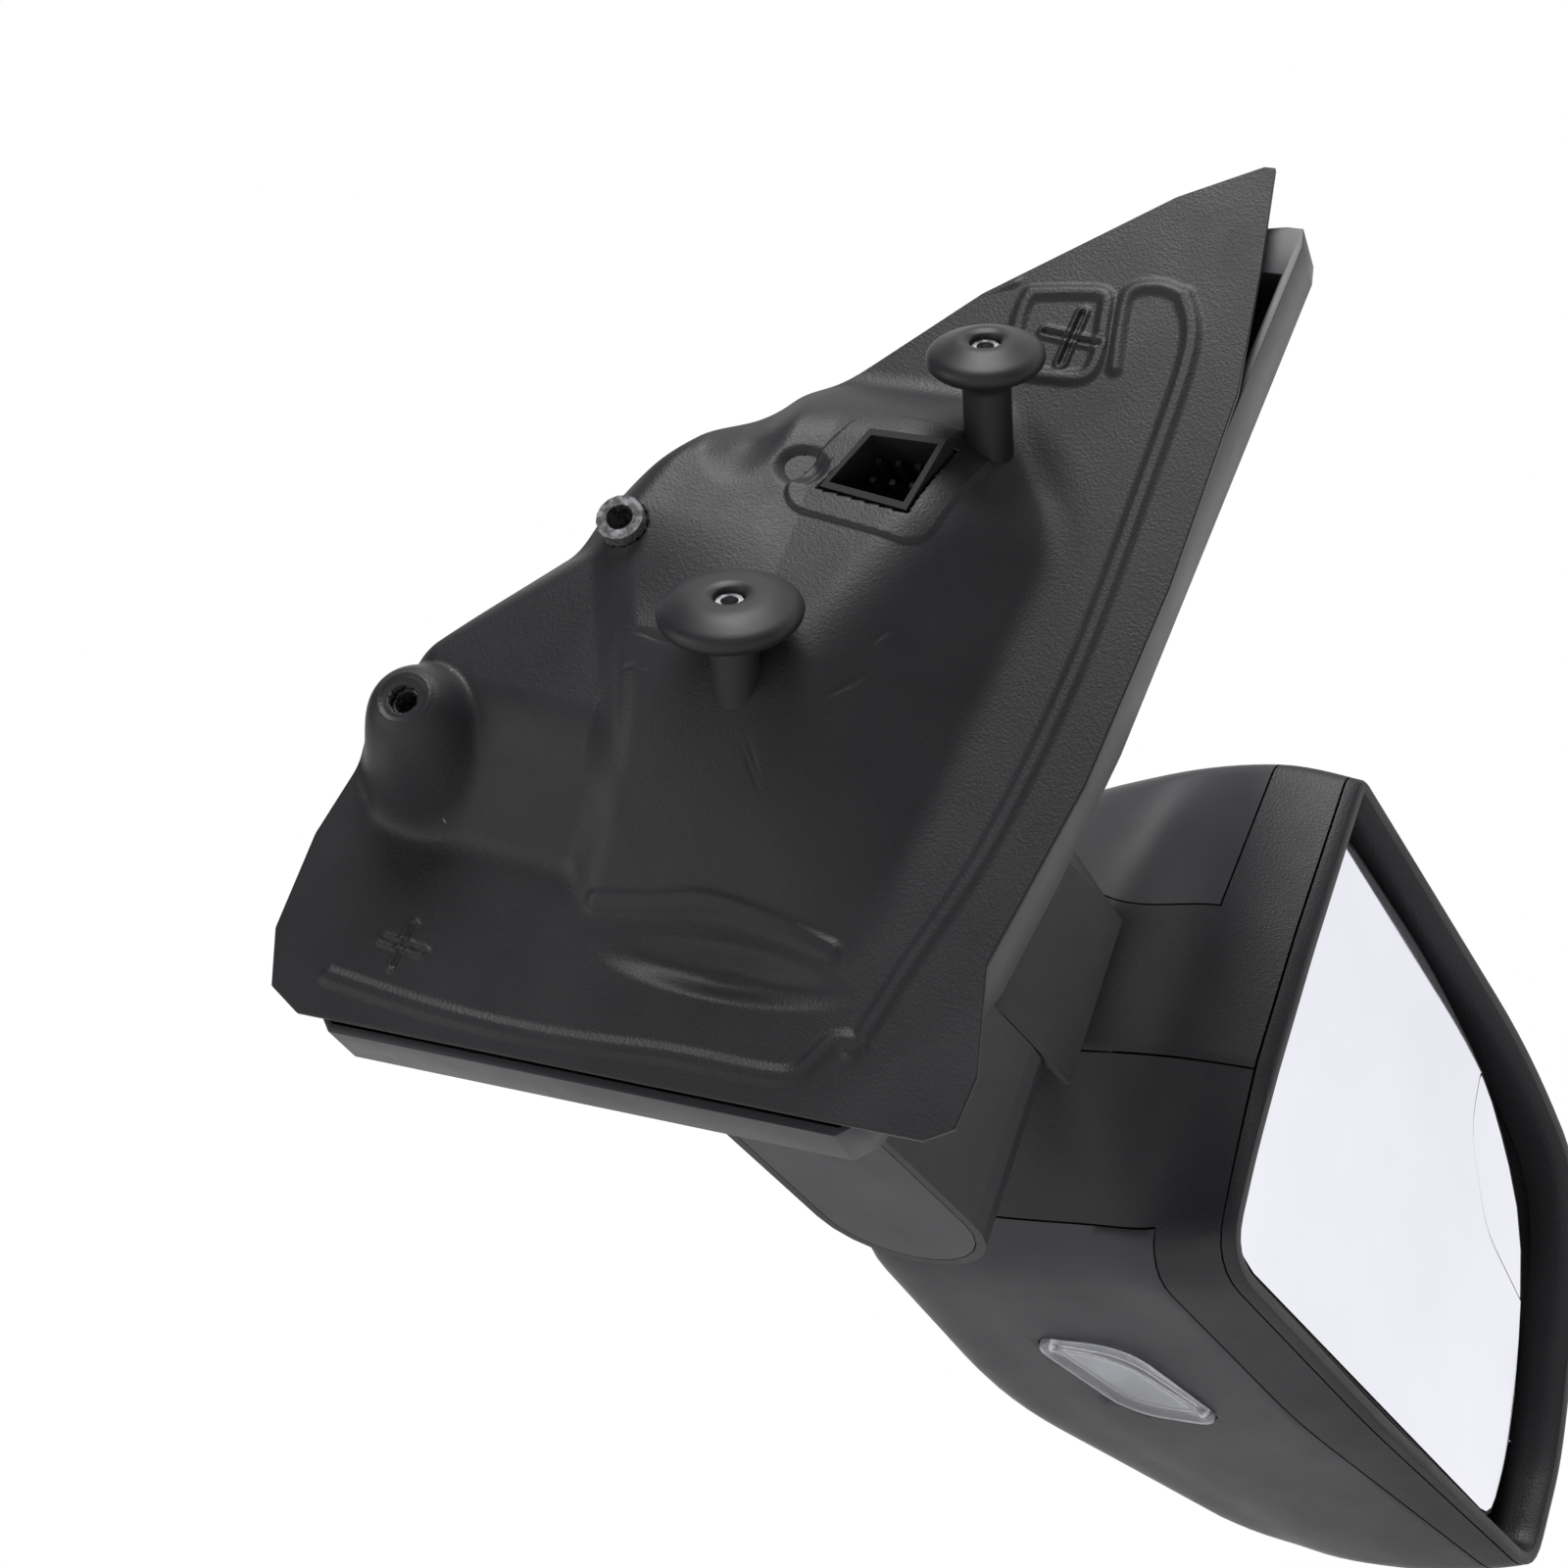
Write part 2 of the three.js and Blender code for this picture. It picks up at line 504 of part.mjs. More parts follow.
// ---- head shell: key points round the section, at stations from the rim to the front ----
// Each key is [g, f, z, corner setback]. Keys run from the inboard seam along the bottom to the
// outboard seam, then back over the top. The last station is one line where top and bottom meet.
const STATIONS = [
  [ // rear edge of the rim
    [152, 0, 103, 2], [153, 0, 75, 10], [157, 0, 38, 20], [270, 0, 37, 20],
    [391, 0, 39.5, 14], [391, 0, 78, 8],
    [388, 0, 94, 12], [366, 0, 172, 42], [300, 0, 193.5, 30], [154, 0, 211, 6],
    [152, 0, 146, 8], [152, 0, 111, 3]],
  [ // parting line of the front covers
    [133, 24, 97, 2], [146, 26, 68, 12], [159, 27, 34, 14], [255, 22, 30, 20],
    [389, 11, 36, 14], [391, 12, 78, 8],
    [388, 13, 94, 12], [366, 15, 172, 42], [300, 19, 193, 30], [141, 24, 210, 7],
    [134, 24, 146, 4], [133, 24, 111, 3]],
  [ // widest at the neck
    [104, 40, 82, 2], [128, 46, 62, 14], [157, 52, 34, 14], [255, 52, 27, 20],
    [386, 34, 31, 16], [389, 34, 78, 8],
    [386, 34, 94, 12], [360, 36, 170, 42], [292, 52, 193, 30], [120, 50, 194, 10],
    [101, 40, 129, 4], [101, 39, 96, 3]],
  [ // front of the flat sides
    [103, 84, 80, 2], [128, 90, 58, 14], [150, 98, 31, 16], [250, 100, 25, 22],
    [378, 68, 30, 20], [383, 64, 78, 10],
    [380, 62, 94, 14], [347, 66, 160, 42], [276, 92, 184, 32], [118, 90, 180, 14],
    [98, 86, 148, 8], [99, 84, 94, 4]],
  [ // rounding of the front
    [120, 112, 82, 4], [132, 122, 60, 14], [146, 132, 37, 20], [246, 134, 31, 26],
    [352, 100, 37, 24], [356, 90, 80, 12],
    [354, 88, 94, 16], [318, 92, 148, 40], [262, 116, 170, 34], [134, 114, 162, 20],
    [117, 110, 136, 12], [118, 110, 96, 6]],
  [ // front line
    [132, 124, 88, 6], [140, 132, 88, 14], [160, 141, 88, 20], [240, 141, 88, 26],
    [312, 118, 88, 24], [338, 104, 88, 12],
    [338, 104, 88, 12], [312, 118, 88, 24], [240, 141, 88, 26], [160, 141, 88, 20],
    [140, 132, 88, 14], [132, 124, 88, 6]],
];
const KEYS = 12;
const ARC_STEPS = 2;
const SPAN_STEPS = 2;
const RING = KEYS * (ARC_STEPS + SPAN_STEPS);
const STATION_STEPS = 2;

function rounded(corners) {
  const ring = [];
  const points = corners.map(([g, f, z]) => new THREE.Vector3(g, f, z));
  const ends = corners.map((corner, i) => {
    const here = points[i];
    const toBefore = points[(i + KEYS - 1) % KEYS].clone().sub(here);
    const toAfter = points[(i + 1) % KEYS].clone().sub(here);
    const set = (v) => here.clone().add(v.setLength(Math.min(corner[3], v.length() * 0.46)));
    return [set(toBefore), set(toAfter)];
  });
  for (let i = 0; i < KEYS; i++) {
    const [start, end] = ends[i];
    const arc = new THREE.QuadraticBezierCurve3(start, points[i], end);
    for (let s = 0; s <= ARC_STEPS; s++) ring.push(arc.getPoint(s / ARC_STEPS));
    const next = ends[(i + 1) % KEYS][0];
    for (let s = 1; s < SPAN_STEPS; s++) ring.push(end.clone().lerp(next, s / SPAN_STEPS));
  }
  return ring;
}

// corners at a station position between 0 and STATIONS.length - 1
function cornersAt(v) {
  const last = STATIONS.length - 1;
  const i = Math.min(Math.floor(v), last - 1);
  const t = v - i;
  return STATIONS[0].map((_, k) => {
    const pick = (n) => {
      if (n < 0) return STATIONS[0][k];
      if (n > last) return STATIONS[last - 1][(KEYS - 1 - k)];
      return STATIONS[n][k];
    };
    const [p0, p1, p2, p3] = [pick(i - 1), pick(i), pick(i + 1), pick(i + 2)];
    return p1.map((_, c) => {
      const m1 = (p2[c] - p0[c]) / 2;
      const m2 = (p3[c] - p1[c]) / 2;
      const t2 = t * t;
      const t3 = t2 * t;
      const held = (2 * t3 - 3 * t2 + 1) * p1[c] + (3 * t2 - 2 * t3) * p2[c];
      return held + (t3 - 2 * t2 + t) * m1 + (t3 - t2) * m2;
    });
  });
}

const LIP = 6; // depth of the bezel round the glass opening
const COLLAR_END = 17; // its collar reaches this far in
const LIP_STEP = 0.25; // the bezel's share of the first station
const headStops = [0, LIP_STEP];
for (let s = 0; s < (STATIONS.length - 1) * STATION_STEPS; s++) {
  const v = (s + 1) / STATION_STEPS;
  if (v > LIP_STEP) headStops.push(v);
}
const headRings = headStops.map((v) => rounded(cornersAt(v)));
const HEAD_ROWS = headRings.length;
const SEAM_ROW = headStops.indexOf(1);
const keyStart = (k) => k * (ARC_STEPS + SPAN_STEPS);

// inner surface: each ring point moved towards the inside along the surface normal
function shrunk(rings, distance) {
  const rows = rings.length;
  return rings.map((ring, i) =>
    ring.map((p, j) => {
      const next = ring[(j + 1) % RING];
      const before = ring[(j + RING - 1) % RING];
      const round = next.clone().sub(before);
      const across = (keyStart(KEYS - 1) + ARC_STEPS - j + RING) % RING; // same place on the front line
      const after = i + 1 < rows ? rings[i + 1][j] : rings[i - 1][across];
      const ahead = after.clone().sub(rings[Math.max(i - 1, 0)][j]);
      const normal = round.cross(ahead).normalize();
      return p.clone().addScaledVector(normal, distance);
    }));
}

const headInner = shrunk(headRings, SHELL);
const between = (j, from, to) => j >= keyStart(from) && j < keyStart(to);
const LEDGE_END = ARC_STEPS; // the inboard seam runs along the end of the first corner
const isLowerWall = (j) => j >= LEDGE_END && j < keyStart(2);
const isBottom = (j) => between(j, 2, 6);
const isTop = (j) => between(j, 6, 10);
const isFacet = (j) => between(j, 10, 12) || j < LEDGE_END;
const shellPart = (keep) => gridSolid(headRings, headInner, HEAD_ROWS, RING, true, keep, GAP / 2);

// solid block inside the head's outer surface
function headBlock() {
  const positions = [];
  const push = (...points) => points.forEach((p) => positions.push(p.x, p.y, p.z));
  for (let i = 0; i < HEAD_ROWS - 1; i++) {
    for (let j = 0; j < RING; j++) {
      const k = (j + 1) % RING;
      const [a, b, c, d] = [headRings[i][j], headRings[i][k], headRings[i + 1][k], headRings[i + 1][j]];
      push(a, b, c, a, c, d);
    }
  }
  const rim = headRings[0];
  const faces = THREE.ShapeUtils.triangulateShape(rim.map((p) => new THREE.Vector2(p.x, p.z)), []);
  for (const [a, b, c] of faces) push(rim[a], rim[c], rim[b]);
  const front = headRings[HEAD_ROWS - 1];
  const ends = THREE.ShapeUtils.triangulateShape(front.map((p) => new THREE.Vector2(p.x, p.z)), []);
  for (const [a, b, c] of ends) push(front[a], front[b], front[c]);
  const geometry = new THREE.BufferGeometry();
  geometry.setAttribute("position", new THREE.BufferAttribute(new Float32Array(positions), 3));
  return solid(geometry);
}

const LAMP_OUTLINE = softPolygon([[199, 92, 9], [206, 60, 14], [254, 47, 9], [249, 80, 14]]);
const LAMP_CENTRE = [226, 69];
const BOTTOM_Z = 27;

// opening in the inboard wall for the head bracket's arm
const bracketDoor = () => box(90, 125, PIVOT[1] - 14, PIVOT[1] + 14, 83.4, 101);

const lowerHousing = () => shellPart((i, j) =>
  (i >= 1 && i < SEAM_ROW && (isLowerWall(j) || isBottom(j))) || (i >= SEAM_ROW && isLowerWall(j)));
const upperHousing = () => cut(
  shellPart((i, j) => (i >= 1 && i < SEAM_ROW && (isTop(j) || isFacet(j))) || (i >= SEAM_ROW && isFacet(j))),
  bracketDoor());
const skullCap = () => shellPart((i, j) => i >= SEAM_ROW && isTop(j));
const lowerCover = () => cut(
  shellPart((i, j) => i >= SEAM_ROW && isBottom(j)),
  prism(scaledAbout(LAMP_OUTLINE, LAMP_CENTRE, GAP, GAP), 10, 40));

// loop of a head ring moved inwards, square to the glass opening, and set at depth f where given
function rimLoop(ring, inset, f) {
  return ring.map((p, j) => {
    const along = ring[(j + 1) % RING].clone().sub(ring[(j + RING - 1) % RING]).setY(0).normalize();
    const inward = new THREE.Vector3(-along.z, 0, along.x);
    return new THREE.Vector3(p.x, f ?? p.y, p.z).addScaledVector(inward, inset);
  });
}

// closed ring solid through loops that follow each other round a profile
function ringSolid(loops) {
  const positions = [];
  const push = (...points) => points.forEach((p) => positions.push(p.x, p.y, p.z));
  loops.forEach((loop, i) => {
    const next = loops[(i + 1) % loops.length];
    for (let j = 0; j < RING; j++) {
      const k = (j + 1) % RING;
      push(loop[j], loop[k], next[k], loop[j], next[k], next[j]);
    }
  });
  const geometry = new THREE.BufferGeometry();
  geometry.setAttribute("position", new THREE.BufferAttribute(new Float32Array(positions), 3));
  return solid(geometry);
}

function rimBezel() {
  const [rear, seam] = headRings;
  const edge = seam.map((p, j) => p.clone().add(rear[j].clone().sub(p).setLength(GAP / 2)));
  return ringSolid([
    rear, edge, rimLoop(edge, SHELL + 0.8), rimLoop(rear, 5.3, LIP + 1), rimLoop(rear, 5.5, COLLAR_END),
    rimLoop(rear, 7.1, COLLAR_END), rimLoop(rear, 5.2, 0.4)]);
}

// ---- neck over the pivot ----
const NECK_R = 27;
const NECK_INBOARD = 62;

function neckOutline(r, steps = 10) {
  const out = [];
  const [pg, pf] = PIVOT;
  const half = (cg, from) => {
    for (let i = 0; i <= steps; i++) {
      const a = THREE.MathUtils.degToRad(from + (180 * i) / steps);
      out.push([cg + r * Math.cos(a), pf + r * Math.sin(a)]);
    }
  };
  half(pg + 40, -90);
  half(NECK_INBOARD, 90);
  return out;
}

// block under the neck's sloping top, moved down by `drop`
function underNeckTop(drop) {
  const profile = [
    [20, 60], [160, 60], [160, 160 - drop], [100, 150 - drop],
    [60, 141 - drop], [20, 118 - drop]];
  const slope = prismF(profile, 0, 200);
  const fall = [
    [-10, 60], [200, 60], [200, 190 - drop], [84, 152 - drop],
    [58, 148 - drop], [38, 128 - drop], [-10, 80 - drop]];
  return slope.intersect(prismX(fall, -50, 300));
}

function neckCover() {
  const outer = prism(neckOutline(NECK_R), SPLIT_Z + 0.5, 170).intersect(underNeckTop(0));
  const inner = prism(neckOutline(NECK_R - SHELL), SPLIT_Z - 1, 170).intersect(underNeckTop(SHELL));
  const head = headBlock();
  const shifted = head.translate([-0.5, 0, 0]);
  return cut(outer, inner, head, shifted, box(103, 300, -100, 300, 0, 300));
}

// ---- bracket inside the head ----
const PLATE_F = [50, 53];
const LUG_R = 56;
const LUG_ANGLES = [60, 150, 285];
const [CG, CZ] = GLASS_CENTRE;
const onCircle = (r, deg) => {
  const a = THREE.MathUtils.degToRad(deg);
  return [CG + r * Math.cos(a), CZ + r * Math.sin(a)];
};
const alongF = [0, 1, 0];

function headBracket() {
  const hub = pivotTurned([
    [8.5, 66], [14, 66], [14, 68], [20, 68], [20, 92], [16, HUB_TOP], [8.5, HUB_TOP], [8.5, 66]], 24);
  const [pg, pf] = PIVOT;
  const arm = cut(
    box(pg + 12, 262, pf - 12, pf + 10, 85, 99.5),
    box(pg + 26, 240, pf - 9, pf + 20, 88, 96.5));
  const plate = rod(62, ...PLATE_F, [CG, 0, CZ], alongF, 36);
  const window = rod(26, 40, 60, [CG, 0, CZ], alongF, 24);
  const bores = LUG_ANGLES.map((deg) => {
    const [g, z] = onCircle(LUG_R, deg);
    return rod(2.2, 40, 60, [g, 0, z], alongF, 10);
  });
  return cut(joined(hub, cut(joined(arm, plate), window)), ...bores,
    pivotTurned([[0, 60], [8.5, 60], [8.5, 110], [0, 110]], 24));
}

// ---- glass drive ----
const DRIVE_R = 50.4;
const PAN_AT = [CG - LEVER, CZ];
const TILT_AT = [CG, CZ - LEVER];
const PIVOT_F = 20;
const GEAR_F = [33.5, 39.5];
const GEAR_TIP = 9;
const PORT_R = 8.4; // the carrier's cups swing into these ports in the drive's face
const WORM_R = 3;
const WORM_OFFSET = GEAR_TIP + WORM_R + GAP;
const PAN_WORM = [PAN_AT[0] + WORM_OFFSET, 36.5];
const TILT_WORM_Z = TILT_AT[1] + WORM_OFFSET;

function actuatorBase() {
  const cup = cut(
    rod(DRIVE_R, 26, 44, [CG, 0, CZ], alongF, 36),
    rod(DRIVE_R - 2.4, 28.4, 50, [CG, 0, CZ], alongF, 36));
  const post = joined(
    rod(5, 15.5, 29, [CG, 0, CZ], alongF, 16),
    rod(1.8, -10.6, 10.6, [CG, PIVOT_F, CZ], [0, 0, 1], 10));
  const lugs = LUG_ANGLES.map((deg) => {
    const [g, z] = onCircle(LUG_R, deg);
    const root = [CG + (g - CG) * 0.88, 0, CZ + (z - CZ) * 0.88];
    return joined(rod(4.6, 30, 49.6, [g, 0, z], alongF, 12), rod(4.6, 30, 43, root, alongF, 12));
  });
  const holes = LUG_ANGLES.map((deg) => {
    const [g, z] = onCircle(LUG_R, deg);
    return rod(2, 36, 60, [g, 0, z], alongF, 10);
  });
  const ports = [PAN_AT, TILT_AT].map(([g, z]) => rod(PORT_R, 20, 30, [g, 0, z], alongF, 16));
  const hollow = rod(DRIVE_R - 2.4, 28.4, 43.9, [CG, 0, CZ], alongF, 36);
  return joined(cut(joined(cup, ...lugs), hollow, ...holes, ...ports), post);
}

function actuatorCover() {
  return cut(
    rod(DRIVE_R, 44.3, 46.5, [CG, 0, CZ], alongF, 36),
    ...LUG_ANGLES.map((deg) => {
      const [g, z] = onCircle(LUG_R, deg);
      return rod(5.2, 40, 50, [g, 0, z], alongF, 12);
    }));
}

function gear([g, z]) {
  const outline = [];
  for (let i = 0; i < GEAR_TEETH * 4; i++) {
    const a = (i * 2 * Math.PI) / (GEAR_TEETH * 4);
    const r = i % 4 < 2 ? GEAR_TIP : GEAR_TIP - 1.6;
    outline.push([g + r * Math.cos(a), z + r * Math.sin(a)]);
  }
  return cut(prismF(outline, ...GEAR_F), rod(3.6, 20, 50, [g, 0, z], alongF, 16));
}

function jackscrew([g, z]) {
  const profile = [[0, 15.6], [2.4, 16.2], [4, 18], [4.4, 20], [4, 21.8], [2.6, 23.5], [2.6, 25]];
  for (let f = 25; f < 37; f += 3) profile.push([3.2, f + 1], [2.6, f + 3]);
  profile.push([0, 38.6]);
  return turned(profile, [g, 0, z], alongF, 10);
}

// thread drawn as rings round the worm's axis
function worm(foot, axis) {
  const profile = [[0, -9], [1.2, -9], [1.2, -7.5]];
  for (let h = -7.5; h < 6; h += 3) {
    profile.push([WORM_R, h + 1], [WORM_R, h + 1.8], [WORM_R - 1, h + 2.9]);
  }
  profile.push([1.2, 8.5], [0, 8.5]);
  return turned(profile, foot, axis, 8);
}

function motor(foot, axis) {
  const profile = [
    [0, 10.5], [3, 10.5], [3, 11.5], [6.8, 11.5], [6.8, 31],
    [2.5, 31], [2.5, 32.2], [0, 32.2]];
  return turned(profile, foot, axis, 16);
}

function gimbalRing() {
  const ring = tube(8, 12, PIVOT_F - 2.6, PIVOT_F + 2.6, [CG, 0, CZ], alongF, 24);
  const bore = rod(2.15, -20, 20, [CG, PIVOT_F, CZ], [0, 0, 1], 10);
  const pins = [-1, 1].map((s) => rod(1.8, 10.5, 15.8, [CG, PIVOT_F, CZ], [s, 0, 0], 10));
  return joined(cut(ring, bore), ...pins);
}

const GLASS_OUTLINE = softPolygon([
  [167, 49, 20], [168, 198, 8], [236, 192, 20], [296, 178, 20],
  [344, 148, 24], [371, 84, 30], [370, 49, 8]], 3);
const SPOTTER_OUTLINE = softPolygon([
  [288, 178.6, 3], [291, 158, 10], [318, 133, 10], [363.5, 121, 3], [344, 148, 24], [296, 177.5, 14]], 3);
const inFrom = (outline, d) => scaledAbout(outline, GLASS_CENTRE, -d, -d);

function mirrorGlass() {
  const blank = prismF(inFrom(GLASS_OUTLINE, 1.2), GLASS_F, GLASS_F + 2);
  return cut(blank, prismF(SPOTTER_OUTLINE, 0, 30));
}

const SPOTTER_CENTRE = [326, 152];

function spotterGlass() {
  const pane = prismF(scaledAbout(SPOTTER_OUTLINE, SPOTTER_CENTRE, -0.8, -0.8), GLASS_F + 0.2, GLASS_F + 2);
  return pane.intersect(prismF(inFrom(GLASS_OUTLINE, 1.5), 0, 30));
}

const heaterPad = () => prismF(inFrom(GLASS_OUTLINE, 6), GLASS_F + 2.3, GLASS_F + 2.8);

function glassCarrier() {
  const tray = cut(
    prismF(GLASS_OUTLINE, GLASS_F + 0.4, GLASS_F + 4.4),
    prismF(inFrom(GLASS_OUTLINE, 0.8), 0, GLASS_F + 3.1));
  const collar = tube(14, 18, GLASS_F + 4, 22.8, [CG, 0, CZ], alongF, 24);
  const relief = rod(13, GLASS_F + 4.2, 40, [CG, 0, CZ], alongF, 24);
  const pinBore = rod(2.15, -17, 17, [CG, PIVOT_F, CZ], [1, 0, 0], 10);
  const cups = [PAN_AT, TILT_AT].map(([g, z]) => tube(5.2, 7, GLASS_F + 4, 22.6, [g, 0, z], alongF, 14));
  return joined(cut(joined(tray, collar), relief, pinBore), ...cups);
}

function driveScrew(deg) {
  const [g, z] = onCircle(LUG_R, deg);
  const profile = [[0, 38], [1.7, 38], [1.7, 53.4], [3.6, 53.4], [3.6, 55.6], [0, 55.6]];
  return turned(profile, [g, 0, z], alongF, 10);
}

// ---- puddle lamp ----
const lampAt = (d) => scaledAbout(LAMP_OUTLINE, LAMP_CENTRE, d, d);
const lampLens = () => cut(
  prism(lampAt(-GAP / 2), BOTTOM_Z - 1.2, BOTTOM_Z + 5),
  prism(lampAt(-3), BOTTOM_Z + 1.2, 60));
const lampGasket = () => cut(
  prism(lampAt(3), BOTTOM_Z + 5.3, BOTTOM_Z + 7),
  prism(lampAt(-3.4), 0, 60));
const lampReflector = () => cut(
  joined(prism(lampAt(3), BOTTOM_Z + 7.3, BOTTOM_Z + 9), prism(lampAt(-5), BOTTOM_Z + 3, BOTTOM_Z + 16)),
  prism(lampAt(-7), 0, BOTTOM_Z + 14));
const lampBoard = () => prism(lampAt(-8), BOTTOM_Z + 16.4, BOTTOM_Z + 18);

// ---- materials ----
const plastic = (color, roughness) => new THREE.MeshStandardMaterial({ color, roughness, metalness: 0 });
const metal = (color, roughness) => new THREE.MeshStandardMaterial({ color, roughness, metalness: 1 });
const LOOKS = {
  foam: plastic(0x38383c, 0.9),
  rubber: plastic(0x26262a, 0.75),
  grained: plastic(0x303034, 0.65),
  smoothBlack: plastic(0x3c3c41, 0.5),
  inner: plastic(0x1f1f22, 0.7),
  nylon: plastic(0xd8d6cc, 0.5),
  casting: metal(0x9a9da1, 0.55),
  steel: metal(0xc4c7cb, 0.3),
  glass: metal(0xdedee8, 0.05),
  heater: plastic(0x8f7a52, 0.6),
  lens: plastic(0xb9bcc4, 0.15),
  chrome: metal(0xe0e2e6, 0.1),
  board: plastic(0x2f5d3a, 0.6),
};

// ---- assembly ----
const mirror = new THREE.Group();
mirror.position.addScaledVector(sailForward, -ORIGIN_ON_SAIL[0]).addScaledVector(sailUp, -ORIGIN_ON_SAIL[1]);
const sail = new THREE.Group();
sail.applyMatrix4(sailFrame);
const head = new THREE.Group();
head.applyMatrix4(headFrame);
mirror.add(sail, head);

function add(group, name, body, look) {
  const mesh = new THREE.Mesh(geometryOf(body), LOOKS[look].clone());
  mesh.name = name;
  group.add(mesh);
}

add(sail, "seal_gasket", sealGasket(), "foam");
add(sail, "base_bracket", baseBracket(), "casting");
for (const [side, place] of Object.entries(DOWELS)) {
  add(sail, `dowel_${side}`, dowel(place), "rubber");
  add(sail, `insert_${side}`, insert(place), "steel");
}
add(sail, "boss_sleeve", bossSleeve(), "steel");
add(sail, "ear_bush", earBush(), "steel");
add(sail, "connector_socket", connectorSocket(), "inner");
add(sail, "sail_cover", sailCover(), "smoothBlack");
COVER_SCREWS.forEach((at, i) => add(sail, `cover_screw_${i + 1}`, coverScrew(at), "steel"));
add(head, "arm_foot", armFoot(), "grained");
add(head, "foot_cap", footCap(), "smoothBlack");
add(head, "pivot_post", pivotPost(), "steel");
add(head, "detent_ring", detentRing(), "steel");
add(head, "thrust_washer", thrustWasher(), "nylon");
add(head, "pivot_spring", pivotSpring(), "steel");
add(head, "spring_retainer", springRetainer(), "steel");
add(head, "retainer_clip", retainerClip(), "steel");

add(head, "rim_bezel", rimBezel(), "grained");
add(head, "upper_housing", upperHousing(), "grained");
add(head, "lower_housing", lowerHousing(), "grained");
add(head, "skull_cap", skullCap(), "smoothBlack");
add(head, "lower_cover", lowerCover(), "smoothBlack");
add(head, "neck_cover", neckCover(), "grained");
add(head, "head_bracket", headBracket(), "casting");
add(head, "actuator_base", actuatorBase(), "inner");
add(head, "actuator_cover", actuatorCover(), "inner");
add(head, "lamp_lens", lampLens(), "lens");
add(head, "lamp_gasket", lampGasket(), "rubber");
add(head, "lamp_reflector", lampReflector(), "chrome");
add(head, "lamp_board", lampBoard(), "board");
LUG_ANGLES.forEach((deg, i) => add(head, `drive_screw_${i + 1}`, driveScrew(deg), "steel"));

add(head, "pan_motor", motor([PAN_WORM[0], PAN_WORM[1], CZ], [0, 0, 1]), "steel");
add(head, "tilt_motor", motor([CG, PAN_WORM[1], TILT_WORM_Z], [1, 0, 0]), "steel");
add(head, "pan_worm", worm([PAN_WORM[0], PAN_WORM[1], CZ], [0, 0, 1]), "nylon");
add(head, "tilt_worm", worm([CG, PAN_WORM[1], TILT_WORM_Z], [1, 0, 0]), "nylon");
add(head, "pan_gear", gear(PAN_AT), "nylon");
add(head, "tilt_gear", gear(TILT_AT), "nylon");
add(head, "pan_jackscrew", jackscrew(PAN_AT), "nylon");
add(head, "tilt_jackscrew", jackscrew(TILT_AT), "nylon");
add(head, "gimbal_ring", gimbalRing(), "nylon");
add(head, "glass_carrier", glassCarrier(), "inner");
add(head, "heater_pad", heaterPad(), "heater");
add(head, "mirror_glass", mirrorGlass(), "glass");
add(head, "spotter_glass", spotterGlass(), "glass");

export default mirror;
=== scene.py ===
"""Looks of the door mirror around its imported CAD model. Blender metres; +X outboard, +Y forward, +Z up."""
import json
import math

import bmesh
import bpy
from mathutils import Matrix, Vector


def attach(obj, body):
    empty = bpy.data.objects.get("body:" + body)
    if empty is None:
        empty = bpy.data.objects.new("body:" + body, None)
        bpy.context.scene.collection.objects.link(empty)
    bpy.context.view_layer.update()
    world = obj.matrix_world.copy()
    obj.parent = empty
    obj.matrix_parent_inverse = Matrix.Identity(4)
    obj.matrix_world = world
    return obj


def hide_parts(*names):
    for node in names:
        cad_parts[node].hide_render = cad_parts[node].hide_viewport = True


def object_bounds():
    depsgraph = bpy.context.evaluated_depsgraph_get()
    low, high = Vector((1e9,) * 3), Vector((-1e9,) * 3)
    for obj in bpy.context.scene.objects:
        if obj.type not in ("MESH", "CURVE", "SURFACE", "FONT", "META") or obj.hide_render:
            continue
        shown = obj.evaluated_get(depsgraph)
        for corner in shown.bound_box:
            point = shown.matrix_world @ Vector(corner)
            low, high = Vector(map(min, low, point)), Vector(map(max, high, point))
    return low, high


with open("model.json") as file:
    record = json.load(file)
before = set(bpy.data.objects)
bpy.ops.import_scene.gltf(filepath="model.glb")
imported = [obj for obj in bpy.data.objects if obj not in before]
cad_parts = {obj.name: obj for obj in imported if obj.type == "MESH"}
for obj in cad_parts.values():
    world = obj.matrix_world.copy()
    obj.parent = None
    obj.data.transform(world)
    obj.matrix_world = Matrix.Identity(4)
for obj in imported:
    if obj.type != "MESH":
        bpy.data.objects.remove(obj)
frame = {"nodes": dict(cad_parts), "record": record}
cad_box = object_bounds()

MM = 0.001

# ---- frames, as in the part: the sail leans and yaws, the head yaws ----
SAIL_LEAN = math.radians(8)
SAIL_YAW = math.radians(12)
HEAD_YAW = math.radians(8)
ORIGIN_ON_SAIL = (24, 16)
HEAD_SET = (2.4, 17.1)

sail_out = Vector((
    math.cos(SAIL_YAW) * math.cos(SAIL_LEAN),
    math.sin(SAIL_YAW) * math.cos(SAIL_LEAN),
    math.sin(SAIL_LEAN),
))
sail_forward = Vector((-math.sin(SAIL_YAW), math.cos(SAIL_YAW), 0))
sail_up = sail_out.cross(sail_forward)
origin_shift = -ORIGIN_ON_SAIL[0] * sail_forward - ORIGIN_ON_SAIL[1] * sail_up
head_side = Vector((math.cos(HEAD_YAW), -math.sin(HEAD_YAW), 0))
head_forward = Vector((math.sin(HEAD_YAW), math.cos(HEAD_YAW), 0))


def sail_point(x, y, z):
    return MM * (origin_shift + x * sail_out + y * sail_forward + z * sail_up)


